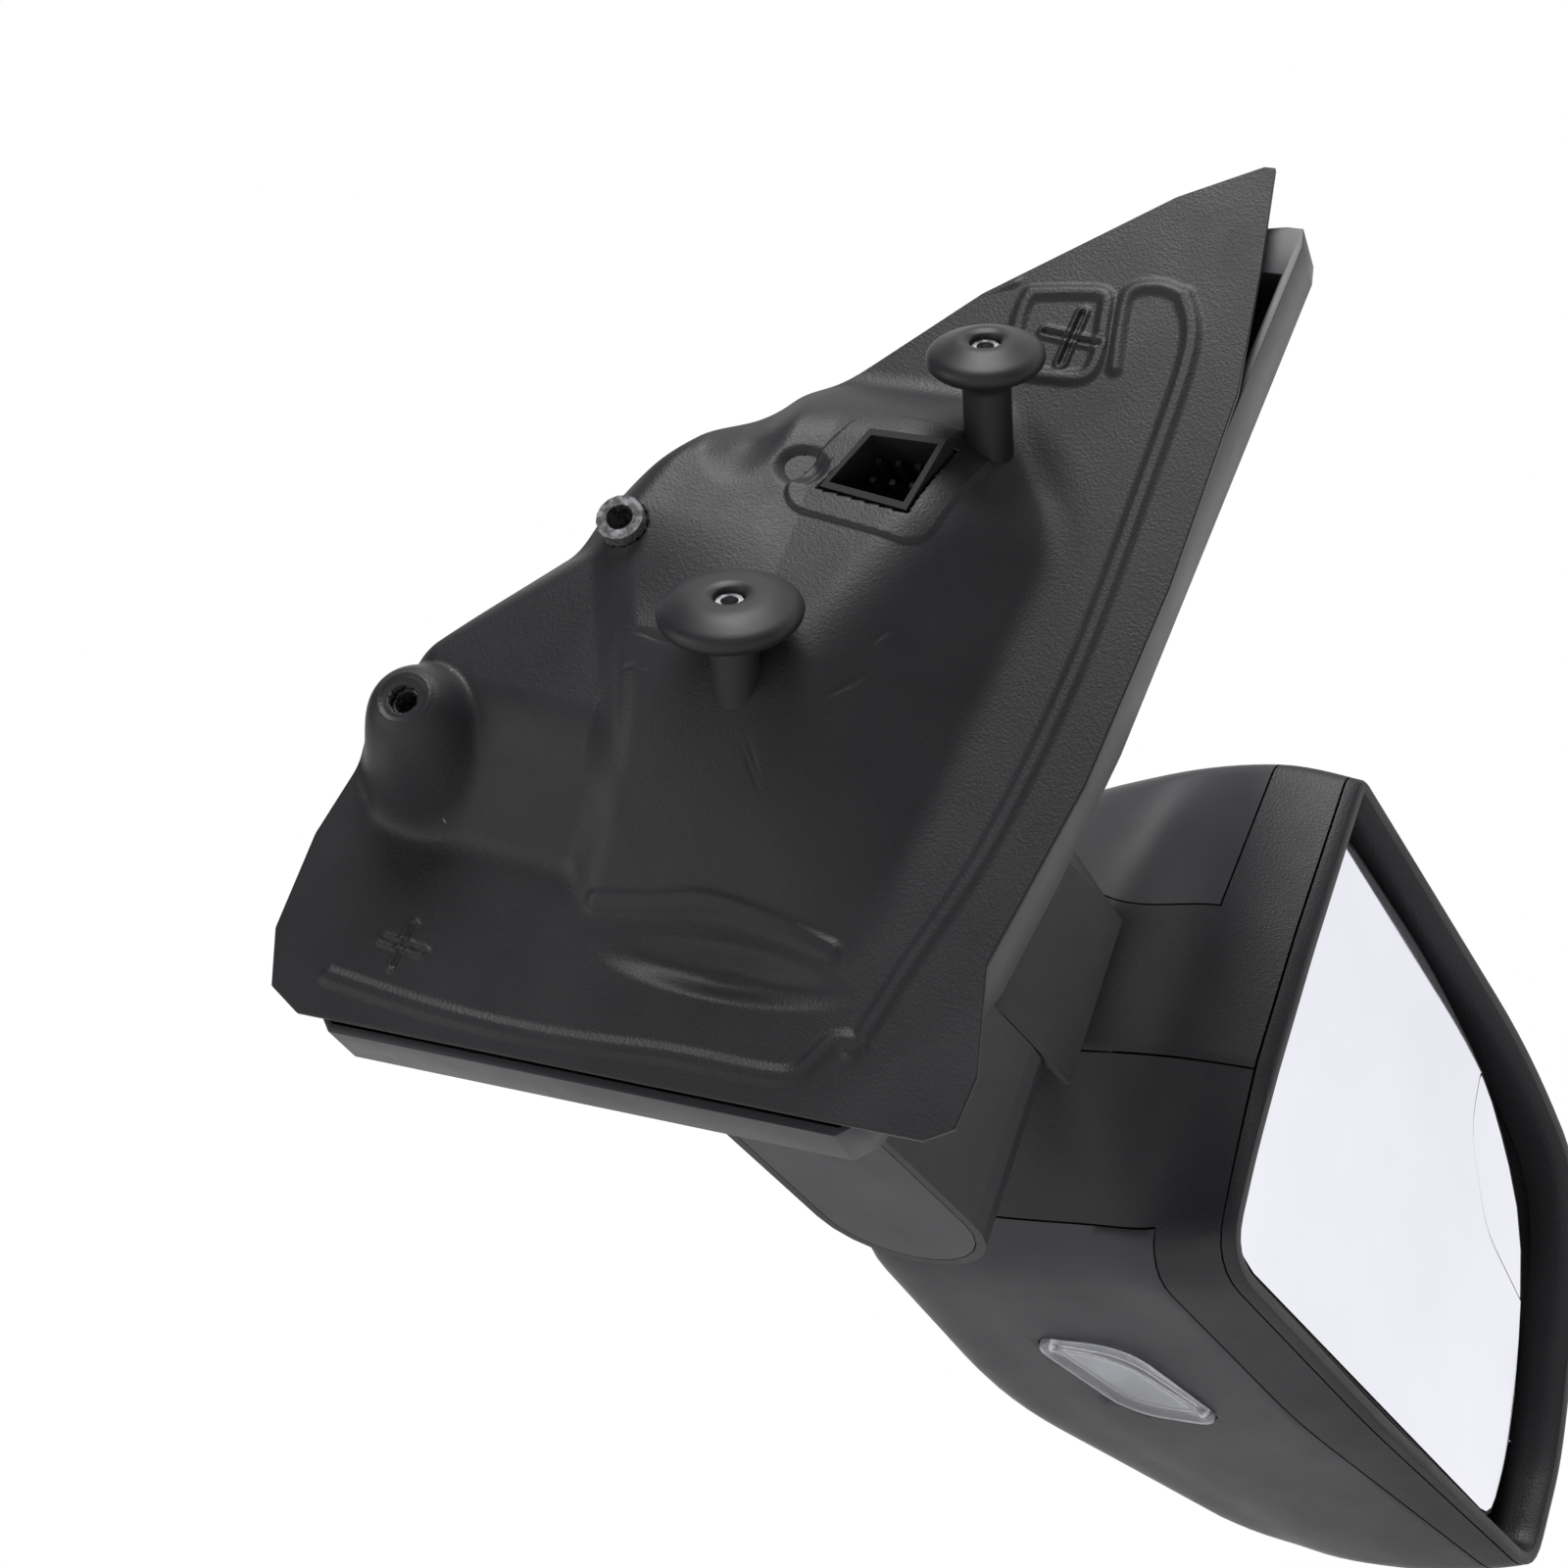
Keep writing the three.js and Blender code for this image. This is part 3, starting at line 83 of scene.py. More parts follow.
def head_point(g, f, z):
    corner = Vector((HEAD_SET[0], HEAD_SET[1], 0))
    return MM * (origin_shift + corner + g * head_side + f * head_forward + Vector((0, 0, z)))


# ---- camera: the photograph's angle, below and inboard of the mirror ----
CAMERA_AZIMUTH = math.radians(35)
CAMERA_LIFT = math.radians(26.5)
CAMERA_ROLL = math.radians(20.5)
CAMERA_PLACE = Vector((-788, -455, -379))
CAMERA_LENS = 85.5
SENSOR = 36


def make_camera():
    ca, sa = math.cos(CAMERA_AZIMUTH), math.sin(CAMERA_AZIMUTH)
    ce, se = math.cos(CAMERA_LIFT), math.sin(CAMERA_LIFT)
    ahead = Vector((ca * ce, sa * ce, se))
    level_right = Vector((sa, -ca, 0))
    level_up = Vector((-se * ca, -se * sa, ce))
    right = level_right * math.cos(CAMERA_ROLL) + level_up * math.sin(CAMERA_ROLL)
    up = level_up * math.cos(CAMERA_ROLL) - level_right * math.sin(CAMERA_ROLL)
    camera = bpy.data.objects.new("camera", bpy.data.cameras.new("camera"))
    camera.data.lens = CAMERA_LENS
    camera.data.sensor_width = SENSOR
    camera.data.clip_end = 20
    bpy.context.scene.collection.objects.link(camera)
    turn = Matrix((right, up, -ahead)).transposed().to_4x4()
    camera.matrix_world = Matrix.Translation(MM * (CAMERA_PLACE + origin_shift)) @ turn
    bpy.context.scene.camera = camera
    return right, up, ahead


view_right, view_up, view_ahead = make_camera()


# ---- materials ----
class Nodes:
    """A material's node tree with short calls for the nodes used here."""

    def __init__(self, name):
        self.material = bpy.data.materials.new(name)
        self.material.use_nodes = True
        self.tree = self.material.node_tree
        self.shader = self.tree.nodes["Principled BSDF"]
        place = self.tree.nodes.new("ShaderNodeTexCoord")
        self.place = place.outputs["Object"]

    def link(self, a, b):
        self.tree.links.new(a, b)

    def noise(self, scale, detail=3.0, rough=0.5):
        node = self.tree.nodes.new("ShaderNodeTexNoise")
        node.inputs["Scale"].default_value = scale
        node.inputs["Detail"].default_value = detail
        node.inputs["Roughness"].default_value = rough
        self.link(self.place, node.inputs["Vector"])
        return node.outputs["Fac"]

    def cells(self, scale, feature="SMOOTH_F1"):
        node = self.tree.nodes.new("ShaderNodeTexVoronoi")
        node.feature = feature
        node.inputs["Scale"].default_value = scale
        self.link(self.place, node.inputs["Vector"])
        return node.outputs["Distance"]

    def remap(self, value, low, high, new_low, new_high):
        node = self.tree.nodes.new("ShaderNodeMapRange")
        for socket, number in zip(node.inputs[1:5], (low, high, new_low, new_high)):
            socket.default_value = number
        self.link(value, node.inputs[0])
        return node.outputs[0]

    def blend(self, value, dark, light):
        node = self.tree.nodes.new("ShaderNodeValToRGB")
        node.color_ramp.elements[0].position = 0.3
        node.color_ramp.elements[1].position = 0.7
        node.color_ramp.elements[0].color = (*dark, 1)
        node.color_ramp.elements[1].color = (*light, 1)
        self.link(value, node.inputs["Fac"])
        return node.outputs["Color"]

    def math(self, operation, a, b):
        node = self.tree.nodes.new("ShaderNodeMath")
        node.operation = operation
        for socket, value in zip(node.inputs, (a, b)):
            if isinstance(value, (int, float)):
                socket.default_value = value
            else:
                self.link(value, socket)
        return node.outputs[0]

    def bump(self, height, strength, distance, under=None):
        node = self.tree.nodes.new("ShaderNodeBump")
        node.inputs["Strength"].default_value = strength
        node.inputs["Distance"].default_value = distance
        self.link(height, node.inputs["Height"])
        if under:
            self.link(under, node.inputs["Normal"])
        return node.outputs["Normal"]


def plastic(name, base, roughness, grain, grain_scale, grain_depth, specular=0.5):
    """Moulded plastic or rubber: leather-like grain, cloudy tone, and smoother worn patches."""
    n = Nodes(name)
    tone = n.noise(14, 4)
    dark = tuple(0.82 * c for c in base)
    light = tuple(1.14 * c for c in base)
    n.link(n.blend(tone, dark, light), n.shader.inputs["Base Color"])
    handled = n.noise(38, 6, 0.62)
    rough = n.remap(handled, 0.3, 0.7, roughness - 0.05, roughness + 0.06)
    n.link(rough, n.shader.inputs["Roughness"])
    n.shader.inputs["Specular IOR Level"].default_value = specular
    cells = n.cells(grain_scale)
    fine = n.noise(grain_scale * 1.7, 2)
    height = n.math("ADD", cells, n.math("MULTIPLY", fine, 0.6))
    ripple = n.bump(n.noise(22, 2), 0.25, 0.0006)
    n.link(n.bump(height, grain, grain_depth, ripple), n.shader.inputs["Normal"])
    return n.material


def metal(name, base, roughness, scratch_scale):
    """Plated or cast metal: fine scratches over a cloudy finish."""
    n = Nodes(name)
    n.shader.inputs["Metallic"].default_value = 1
    cloud = n.noise(60, 5)
    n.link(n.blend(cloud, tuple(0.78 * c for c in base), base), n.shader.inputs["Base Color"])
    rough = n.remap(n.noise(scratch_scale, 3), 0.3, 0.7, roughness - 0.06, roughness + 0.12)
    n.link(rough, n.shader.inputs["Roughness"])
    n.link(n.bump(n.noise(scratch_scale * 2, 4), 0.15, 0.0001), n.shader.inputs["Normal"])
    return n.material


def mirror_silver():
    n = Nodes("mirror_silver")
    n.shader.inputs["Metallic"].default_value = 1
    film = n.noise(9, 5)
    n.link(n.blend(film, (0.80, 0.80, 0.87), (0.88, 0.88, 0.94)), n.shader.inputs["Base Color"])
    n.link(n.remap(n.noise(25, 6, 0.7), 0.3, 0.75, 0.03, 0.1), n.shader.inputs["Roughness"])
    return n.material


def clear_plastic():
    """Slightly frosted clear lens."""
    n = Nodes("clear_plastic")
    tint = n.noise(30, 3)
    n.link(n.blend(tint, (0.78, 0.79, 0.83), (0.9, 0.91, 0.95)), n.shader.inputs["Base Color"])
    n.shader.inputs["Transmission Weight"].default_value = 0.82
    n.shader.inputs["IOR"].default_value = 1.46
    n.link(n.remap(n.noise(90, 3), 0.3, 0.7, 0.08, 0.22), n.shader.inputs["Roughness"])
    return n.material


GRAIN_SCALE = 1500
LOOKS = {
    "seal_foam": plastic("seal_foam", (0.016, 0.0155, 0.018), 0.48, 0.45, 1250, 0.00018, 0.34),
    "dowel_rubber": plastic("dowel_rubber", (0.015, 0.0145, 0.017), 0.44, 0.12, 1900, 0.0001, 0.36),
    "grained_black": plastic("grained_black", (0.020, 0.0195, 0.023), 0.46, 0.42, GRAIN_SCALE, 0.00018, 0.36),
    "smooth_black": plastic("smooth_black", (0.034, 0.033, 0.038), 0.42, 0.1, 2400, 0.00006, 0.4),
    "inner_black": plastic("inner_black", (0.013, 0.013, 0.015), 0.55, 0.2, 1800, 0.0001, 0.3),
    "nylon": plastic("nylon", (0.62, 0.60, 0.54), 0.45, 0.12, 1600, 0.0001),
    "heater_film": plastic("heater_film", (0.30, 0.20, 0.09), 0.45, 0.2, 900, 0.0001),
    "circuit_board": plastic("circuit_board", (0.03, 0.14, 0.06), 0.4, 0.2, 900, 0.0001),
    "cast_alloy": metal("cast_alloy", (0.50, 0.51, 0.53), 0.5, 300),
    "bright_steel": metal("bright_steel", (0.78, 0.79, 0.81), 0.24, 500),
    "dark_steel": metal("dark_steel", (0.36, 0.36, 0.38), 0.4, 400),
    "chrome_reflector": metal("chrome_reflector", (0.86, 0.87, 0.9), 0.1, 260),
    "mirror_glass": mirror_silver(),
    "clear_lens": clear_plastic(),
}
slot_of = {part["node"]: part["material_slot"] for part in frame["record"]["subparts"]}


def dress_cad_nodes():
    for name, node in frame["nodes"].items():
        node.data.materials.clear()
        node.data.materials.append(LOOKS[slot_of[name]])


# ---- mesh helpers ----
def new_piece(name, verts, faces, body, slot, stands_for=()):
    mesh = bpy.data.meshes.new(name)
    mesh.from_pydata(verts, [], faces)
    mesh.validate()
    mesh.materials.append(LOOKS[slot])
    mesh.shade_smooth()
    piece = bpy.data.objects.new(name, mesh)
    bpy.context.scene.collection.objects.link(piece)
    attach(piece, body)
    if stands_for:
        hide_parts(*stands_for)
    return piece


def tidy_mesh(piece, weld=0.00001):
    mesh = bmesh.new()
    mesh.from_mesh(piece.data)
    bmesh.ops.remove_doubles(mesh, verts=mesh.verts, dist=weld)
    bmesh.ops.recalc_face_normals(mesh, faces=mesh.faces)
    mesh.to_mesh(piece.data)
    mesh.free()
    piece.data.shade_smooth()


def bevel(piece, width, segments=3, angle=40):
    modifier = piece.modifiers.new("edges", "BEVEL")
    modifier.width = width
    modifier.segments = segments
    modifier.limit_method = "ANGLE"
    modifier.angle_limit = math.radians(angle)
    modifier.harden_normals = True


def grid_shell(rows, inner_rows, wrap, keep):
    """Vertices and faces of a closed shell between two grids of points, over the cells kept."""
    height, width = len(rows), len(rows[0])
    verts = [p for row in rows for p in row] + [p for row in inner_rows for p in row]
    below = height * width
    turn = (lambda j: j % width) if wrap else (lambda j: j)
    across = width if wrap else width - 1

    def kept(i, j):
        if not 0 <= i < height - 1:
            return False
        if not wrap and not 0 <= j < width - 1:
            return False
        return keep(i, turn(j))

    def at(i, j):
        return i * width + turn(j)

    faces = []
    for i in range(height - 1):
        for j in range(across):
            if not kept(i, j):
                continue
            a, b, c, d = at(i, j), at(i, j + 1), at(i + 1, j + 1), at(i + 1, j)
            faces.append((a, b, c, d))
            faces.append((a + below, d + below, c + below, b + below))
            for here, p, q in ((kept(i - 1, j), b, a), (kept(i + 1, j), d, c),
                               (kept(i, j - 1), a, d), (kept(i, j + 1), c, b)):
                if not here:
                    faces.append((p, q, q + below, p + below))
    used = sorted({v for face in faces for v in face})
    renamed = {old: new for new, old in enumerate(used)}
    return [verts[v] for v in used], [tuple(renamed[v] for v in face) for face in faces]


def turned(profile, base, axis, sides, place):
    """A closed turned body: profile of (radius, height) pairs about `axis` from `base`."""
    axis = Vector(axis).normalized()
    side = axis.orthogonal().normalized()
    other = axis.cross(side)
    verts = []
    for k in range(sides):
        a = 2 * math.pi * k / sides
        spoke = math.cos(a) * side + math.sin(a) * other
        for r, h in profile:
            verts.append(place(*(Vector(base) + r * spoke + h * axis)))
    count = len(profile)
    faces = []
    for k in range(sides):
        for i in range(count):
            j = (i + 1) % count
            n = (k + 1) % sides
            faces.append((k * count + i, n * count + i, n * count + j, k * count + j))
    return verts, faces


def smooth_profile(points, steps=6):
    """Points of a closed profile with each corner (r, h, setback) rounded by a quadratic curve."""
    out = []
    count = len(points)
    for i, (r, h, setback) in enumerate(points):
        here = Vector((r, h))
        before = Vector(points[i - 1][:2]) - here
        after = Vector(points[(i + 1) % count][:2]) - here
        if setback == 0:
            out.append(tuple(here))
            continue
        start = here + before.normalized() * min(setback, before.length * 0.48)
        end = here + after.normalized() * min(setback, after.length * 0.48)
        for s in range(steps + 1):
            t = s / steps
            out.append(tuple((1 - t) ** 2 * start + 2 * t * (1 - t) * here + t * t * end))
    return out


# ---- seal sheet: the same relief as the part, with beads, frames and wrinkles added ----
def smooth(a, b, x):
    t = min(max((x - a) / (b - a), 0), 1)
    return t * t * (3 - 2 * t)


def curve_through(pairs):
    """y for each z, along straight lines between (z, y) pairs."""
    def at(z):
        if z <= pairs[0][0]:
            return pairs[0][1]
        for (z0, y0), (z1, y1) in zip(pairs, pairs[1:]):
            if z <= z1:
                return y0 + (y1 - y0) * (z - z0) / (z1 - z0)
        return pairs[-1][1]
    return at


rear_edge = curve_through(
    [(-8, 14), (-3, 6), (12, 4), (43, 10), (99, -3), (161, -11), (223, -15), (262, -12), (297, -8)])
front_edge = curve_through([
    (-8, 203), (-2, 213), (15, 218), (45, 216), (72, 209),
    (120, 172), (192, 118), (245, 68), (284, 19), (297, -4)])


def distance_along(y, z, a, b):
    """Distance from (y, z) to the segment from a to b, and the share of the way along it."""
    along = Vector(b) - Vector(a)
    rel = Vector((y, z)) - Vector(a)
    t = min(max(rel.dot(along) / along.length_squared, 0), 1)
    return (rel - t * along).length, t


def soft_min(a, b, k):
    share = min(max(0.5 + (b - a) / (2 * k), 0), 1)
    return b * (1 - share) + a * share - k * share * (1 - share)


def soft_max(a, b, k):
    return -soft_min(-a, -b, k)


def flank(y, z, foot, rise, centre):
    """Height of a plane that rises from the foot line towards `centre`."""
    (ay, az), (by, bz) = foot

    def side(p, q):
        return (by - ay) * (q - az) - (bz - az) * (p - ay)

    distance = side(y, z) / math.hypot(by - ay, bz - az)
    return rise * math.copysign(1, side(*centre)) * distance


BODY_CENTRE = (92, 120)
BODY_FLANKS = [
    (((46, 18), (22, 170)), 0.7, 7),
    (((52, 40), (124, 35)), 0.56, 14),
    (((130, 36), (152, 92)), 1.15, 7),
    (((188, 104), (150, 188)), 1.3, 7),
    (((150, 188), (100, 214)), 1.2, 7),
    (((22, 170), (52, 212)), 0.8, 7),
    (((52, 212), (98, 212)), 0.9, 7),
]
ARM_CENTRE = (160, 90)
ARM_FLANKS = [
    (((178, 50), (126, 46)), 0.8, 8),
    (((208, 108), (160, 152)), 1.2, 6),
    (((202, 60), (208, 108)), 1.4, 6),
]


BODY_TOP = 31
ARM_TOP = 27
COLUMN_TOP = 36  # the column of rubber round the front boss


def relief(y, z):
    """How far the sheet stands inboard of the sealing plane, as in the part."""
    lean = 0.14 * min(max(y - 92, 0), 60) * smooth(112, 150, z)
    body = BODY_TOP - 0.17 * max(z - 112, 0) + lean
    for foot, rise, soft in BODY_FLANKS:
        body = soft_min(body, flank(y, z, foot, rise, BODY_CENTRE), soft)
    arm = soft_min(ARM_TOP, ARM_TOP - 0.9 * max(132 - y, 0), 4)
    for foot, rise, soft in ARM_FLANKS:
        arm = soft_min(arm, flank(y, z, foot, rise, ARM_CENTRE), soft)
    column = COLUMN_TOP * (1 - smooth(8, 29, math.hypot(y - 184, z - 77)))
    draped = max(soft_max(soft_max(soft_max(body, arm, 5), column, 4), 0, 3) - 0.75, 0)
    from_dimple = math.hypot((y - 116) / 14, (z - 186) / 26)
    dimple = 6 * (1 - smooth(0, 1, from_dimple)) * smooth(2, 10, draped)
    recess = 4 * (1 - smooth(0.15, 1, math.hypot((y - 82) / 40, (z - 27) / 9)))
    return draped - dimple - recess


SHEET_SKIN = 1.9
SAIL_BOTTOM = -8
SAIL_HEIGHT = 297
SHEET_ROWS = 500
SHEET_COLUMNS = 340
WINDOW = ((90, 165), (61, 161), (55, 187), (80, 187))
BOSS = (184, 77)
EAR = (139, 142)
DOWEL_AXIS = Vector((-0.83, 0, 0.56)).normalized()
DOWELS = {
    "lower": {"base": (-29, 93, 103), "head": 20.5, "reach": 25},
    "upper": {"base": (-15, 50, 201), "head": 17, "reach": 21},
}
# raised beads on the sheet: a smooth curve through (y, z) points, half its width, and its height, in mm
BEADS = [
    ([(8, 252), (2, 235), (4, 190), (9, 130), (19, 76), (31, 40), (37, 20), (40, 12)], 2.0, 1.2),
    ([(8, 252), (16, 254), (24, 251), (24, 240), (22, 226)], 1.7, 1.0),
    ([(53, 247), (40, 249), (31, 249), (29, 240), (28, 228), (31, 222), (42, 221), (50, 221)], 1.7, 1.2),
    ([(50, 221), (53, 228), (54, 240), (53, 247)], 1.7, 1.2),
    ([(112, 206), (88, 229), (70, 246), (60, 251)], 2.0, 1.1),
    ([(196, 4), (160, 0), (125, -1), (90, 1), (62, 1), (53, 3), (49, 9), (45, 14), (38, 15)], 2.0, 1.3),
    ([(124, 40), (108, 42), (92, 45), (72, 43), (54, 39)], 2.2, 1.4),
]
WRINKLES = [
    ((112, 108), (133, 112)), ((114, 104), (128, 99)), ((115, 101), (124, 100)),
    ((88, 86), (79, 72)), ((86, 87), (80, 76)), ((70, 100), (58, 115)), ((70, 98), (64, 98)),
    ((61, 121), (57, 128)),
]
BUTTONHOLES = [((37, 234), 8.5, 1.5), ((177, 17), 6.5, 1.1)]


def curved(points, steps=5):
    """The points joined by a smooth curve."""
    ends = [points[0]] + list(points) + [points[-1]]
    line = []
    for p0, p1, p2, p3 in zip(ends, ends[1:], ends[2:], ends[3:]):
        for k in range(steps):
            t = k / steps
            line.append(tuple(
                0.5 * (2 * b + (c - a) * t + (2 * a - 5 * b + 4 * c - d) * t * t
                       + (3 * b - a - 3 * c + d) * t ** 3)
                for a, b, c, d in zip(p0, p1, p2, p3)))
    return line + [points[-1]]


BEAD_STEPS = [
    (a, b, half, height)
    for points, half, height in BEADS
    for line in [curved(points)]
    for a, b in zip(line, line[1:])
]


EDGE_IN = 0.7  # keeps the finer front edge inside the part's facets


def bead_height(y, z):
    best = 0
    for a, b, half, height in BEAD_STEPS:
        reach = 2 * half
        if not (min(a[0], b[0]) - reach < y < max(a[0], b[0]) + reach):
            continue
        if not (min(a[1], b[1]) - reach < z < max(a[1], b[1]) + reach):
            continue
        d, _ = distance_along(y, z, a, b)
        best = max(best, height * (1 - smooth(0, reach, d)))
    return best


def polygon_distance(y, z, corners):
    """Distance from (y, z) to a polygon's outline, negative inside it."""
    inside = False
    nearest = 1e9
    for (y0, z0), (y1, z1) in zip(corners, corners[1:] + corners[:1]):
        d, _ = distance_along(y, z, (y0, z0), (y1, z1))
        nearest = min(nearest, d)
        if (z0 > z) != (z1 > z) and y < y0 + (y1 - y0) * (z - z0) / (z1 - z0):
            inside = not inside
    return -nearest if inside else nearest


def detail(y, z):
    """Small raised and sunk features in mm, raised is positive."""
    h = bead_height(y, z)
    frame_gap = polygon_distance(y, z, list(WINDOW))
    h += 1.6 * smooth(8.6, 7.2, frame_gap)
    h -= 0.5 * smooth(0.8, 0, abs(frame_gap - 3.2))
    for centre, reach, depth in BUTTONHOLES:
        for turn in (0.12, 0.12 + math.pi / 2):
            arm = Vector((math.cos(turn), math.sin(turn))) * reach
            a, b = Vector(centre) - arm, Vector(centre) + arm
            d, _ = distance_along(y, z, a, b)
            h += 0.5 * depth * smooth(2.6, 1.5, d) - depth * smooth(1.2, 0.3, d)
    for a, b in WRINKLES:
        d, t = distance_along(y, z, a, b)
        h -= 0.35 * (1 - smooth(0, 0.8, d)) * math.sin(math.pi * min(max(t, 0.08), 0.92))
    h += 0.9 * (1 - smooth(0, 1.3, abs(math.hypot(y - BOSS[0], z - BOSS[1]) - 7.6)))
    h -= 3.2 * (1 - smooth(2, 8, math.hypot((y - 96) / 1.2, z - 172)))
    return h


def make_seal_sheet():
    rows = []
    under = []
    for i in range(SHEET_ROWS):
        z = SAIL_BOTTOM + (SAIL_HEIGHT - SAIL_BOTTOM) * i / (SHEET_ROWS - 1)
        row, low = [], []
        y0, y1 = rear_edge(z), front_edge(z) - EDGE_IN
        for j in range(SHEET_COLUMNS):
            y = y0 + (y1 - y0) * j / (SHEET_COLUMNS - 1)
            big = relief(y, z)
            edge = min(y - y0, y1 - y, z - SAIL_BOTTOM, SAIL_HEIGHT - z)
            small = min(detail(y, z), 1.0) * smooth(0, 4, edge)
            if big < 1:
                small = max(small, -0.6)
            row.append(sail_point(-big - small + 0.35, y, z))
            low.append(sail_point(SHEET_SKIN - big + 0.2, y, z))
        rows.append(row)
        under.append(low)

    def in_rod(p, centre, r):
        return math.hypot(p[0] - centre[0], p[1] - centre[1]) < r

    def keep(i, j):
        z = SAIL_BOTTOM + (SAIL_HEIGHT - SAIL_BOTTOM) * (i + 0.5) / (SHEET_ROWS - 1)
        y0, y1 = rear_edge(z), front_edge(z) - EDGE_IN
        y = y0 + (y1 - y0) * (j + 0.5) / (SHEET_COLUMNS - 1)
        if polygon_distance(y, z, list(WINDOW)) < 0:
            return False
        return not (in_rod((y, z), BOSS, 4.4) or in_rod((y, z), EAR, 7.2))

    verts, faces = grid_shell(rows, under, False, keep)
    sheet = new_piece("seal_sheet", verts, faces, "door_side", "seal_foam", ["seal_gasket"])
    tidy_mesh(sheet)
    return sheet


# ---- rubber dowels ----
def make_dowels():
    for side, d in DOWELS.items():
        head, reach = d["head"], d["reach"]
        profile = smooth_profile([
            (4.35, -20, 0.4), (6.95, -20, 0.4), (6.95, reach - 12.6, 2.5), (head - 6, reach - 10.6, 3),
            (head - 0.2, reach - 7.6, 3), (head - 0.1, reach - 3.4, 3), (head - 8, reach + 0.2, 6),
            (6.6, reach + 0.5, 1.2), (4.35, reach - 0.6, 0.8)])
        verts, faces = turned(profile, d["base"], DOWEL_AXIS, 96, sail_point)
        name = f"dowel_{side}"
        piece = new_piece(f"{name}_rubber", verts, faces, "door_side", "dowel_rubber", [name])
        tidy_mesh(piece)


# ---- head shells: the part's stations at a finer step ----
STATIONS = [
    [  # rear edge of the rim
        (152, 0, 103, 2), (153, 0, 75, 10), (157, 0, 38, 20), (270, 0, 37, 20),
        (391, 0, 39.5, 14), (391, 0, 78, 8), (388, 0, 94, 12), (366, 0, 172, 42),
        (300, 0, 193.5, 30), (154, 0, 211, 6), (152, 0, 146, 8), (152, 0, 111, 3)],
    [  # parting line of the front covers
        (133, 24, 97, 2), (146, 26, 68, 12), (159, 27, 34, 14), (255, 22, 30, 20),
        (389, 11, 36, 14), (391, 12, 78, 8), (388, 13, 94, 12), (366, 15, 172, 42),
        (300, 19, 193, 30), (141, 24, 210, 7), (134, 24, 146, 4), (133, 24, 111, 3)],
    [  # widest at the neck
        (104, 40, 82, 2), (128, 46, 62, 14), (157, 52, 34, 14), (255, 52, 27, 20),
        (386, 34, 31, 16), (389, 34, 78, 8), (386, 34, 94, 12), (360, 36, 170, 42),
        (292, 52, 193, 30), (120, 50, 194, 10), (101, 40, 129, 4), (101, 39, 96, 3)],
    [  # front of the flat sides
        (103, 84, 80, 2), (128, 90, 58, 14), (150, 98, 31, 16), (250, 100, 25, 22),
        (378, 68, 30, 20), (383, 64, 78, 10), (380, 62, 94, 14), (347, 66, 160, 42),
        (276, 92, 184, 32), (118, 90, 180, 14), (98, 86, 148, 8), (99, 84, 94, 4)],
    [  # rounding of the front
        (120, 112, 82, 4), (132, 122, 60, 14), (146, 132, 37, 20), (246, 134, 31, 26),
        (352, 100, 37, 24), (356, 90, 80, 12), (354, 88, 94, 16), (318, 92, 148, 40),
        (262, 116, 170, 34), (134, 114, 162, 20), (117, 110, 136, 12), (118, 110, 96, 6)],
]
FRONT_LINE = [
    (132, 124, 88, 6), (140, 132, 88, 14), (160, 141, 88, 20),
    (240, 141, 88, 26), (312, 118, 88, 24), (338, 104, 88, 12)]
STATIONS.append(FRONT_LINE + FRONT_LINE[::-1])
KEYS = 12
ARC_STEPS = 6
SPAN_STEPS = 6
KEY_STEP = ARC_STEPS + SPAN_STEPS
RING = KEYS * KEY_STEP
STATION_STEPS = 8
SHELL = 2.4
LIP_STEP = 0.25
SEAM_GAP = 0.35
DRAWN_IN = 0.45  # keeps the finer curves inside the part's facets


def rounded(corners):
    points = [Vector(c[:3]) for c in corners]
    ends = []
    for i, corner in enumerate(corners):
        before = points[i - 1] - points[i]
        after = points[(i + 1) % KEYS] - points[i]
        ends.append([
            points[i] + v.normalized() * min(corner[3], v.length * 0.46) for v in (before, after)])
    ring = []
    for i in range(KEYS):
        start, end = ends[i]
        for s in range(ARC_STEPS + 1):
            t = s / ARC_STEPS
            ring.append((1 - t) ** 2 * start + 2 * t * (1 - t) * points[i] + t * t * end)
        following = ends[(i + 1) % KEYS][0]
        for s in range(1, SPAN_STEPS):
            ring.append(end.lerp(following, s / SPAN_STEPS))
    return ring


def corners_at(v):
    last = len(STATIONS) - 1
    i = min(int(v), last - 1)
    t = v - i

    def pick(n, k):
        if n < 0:
            return STATIONS[0][k]
        if n > last:
            return STATIONS[last - 1][KEYS - 1 - k]
        return STATIONS[n][k]

    out = []
    for k in range(KEYS):
        p0, p1, p2, p3 = (pick(i + d, k) for d in (-1, 0, 1, 2))
        weights = (2 * t**3 - 3 * t**2 + 1, t**3 - 2 * t**2 + t, 3 * t**2 - 2 * t**3, t**3 - t**2)
        out.append(tuple(
            weights[0] * b + weights[1] * (c - a) / 2 + weights[2] * c + weights[3] * (d - b) / 2
            for a, b, c, d in zip(p0, p1, p2, p3)))
    return out


stops = sorted({0.0, LIP_STEP} | {
    s / STATION_STEPS for s in range(2, (len(STATIONS) - 1) * STATION_STEPS + 1)
    if s / STATION_STEPS >= LIP_STEP})
head_rings = [rounded(corners_at(v)) for v in stops]
LIP_ROW = stops.index(LIP_STEP)
SEAM_ROW = stops.index(1.0)


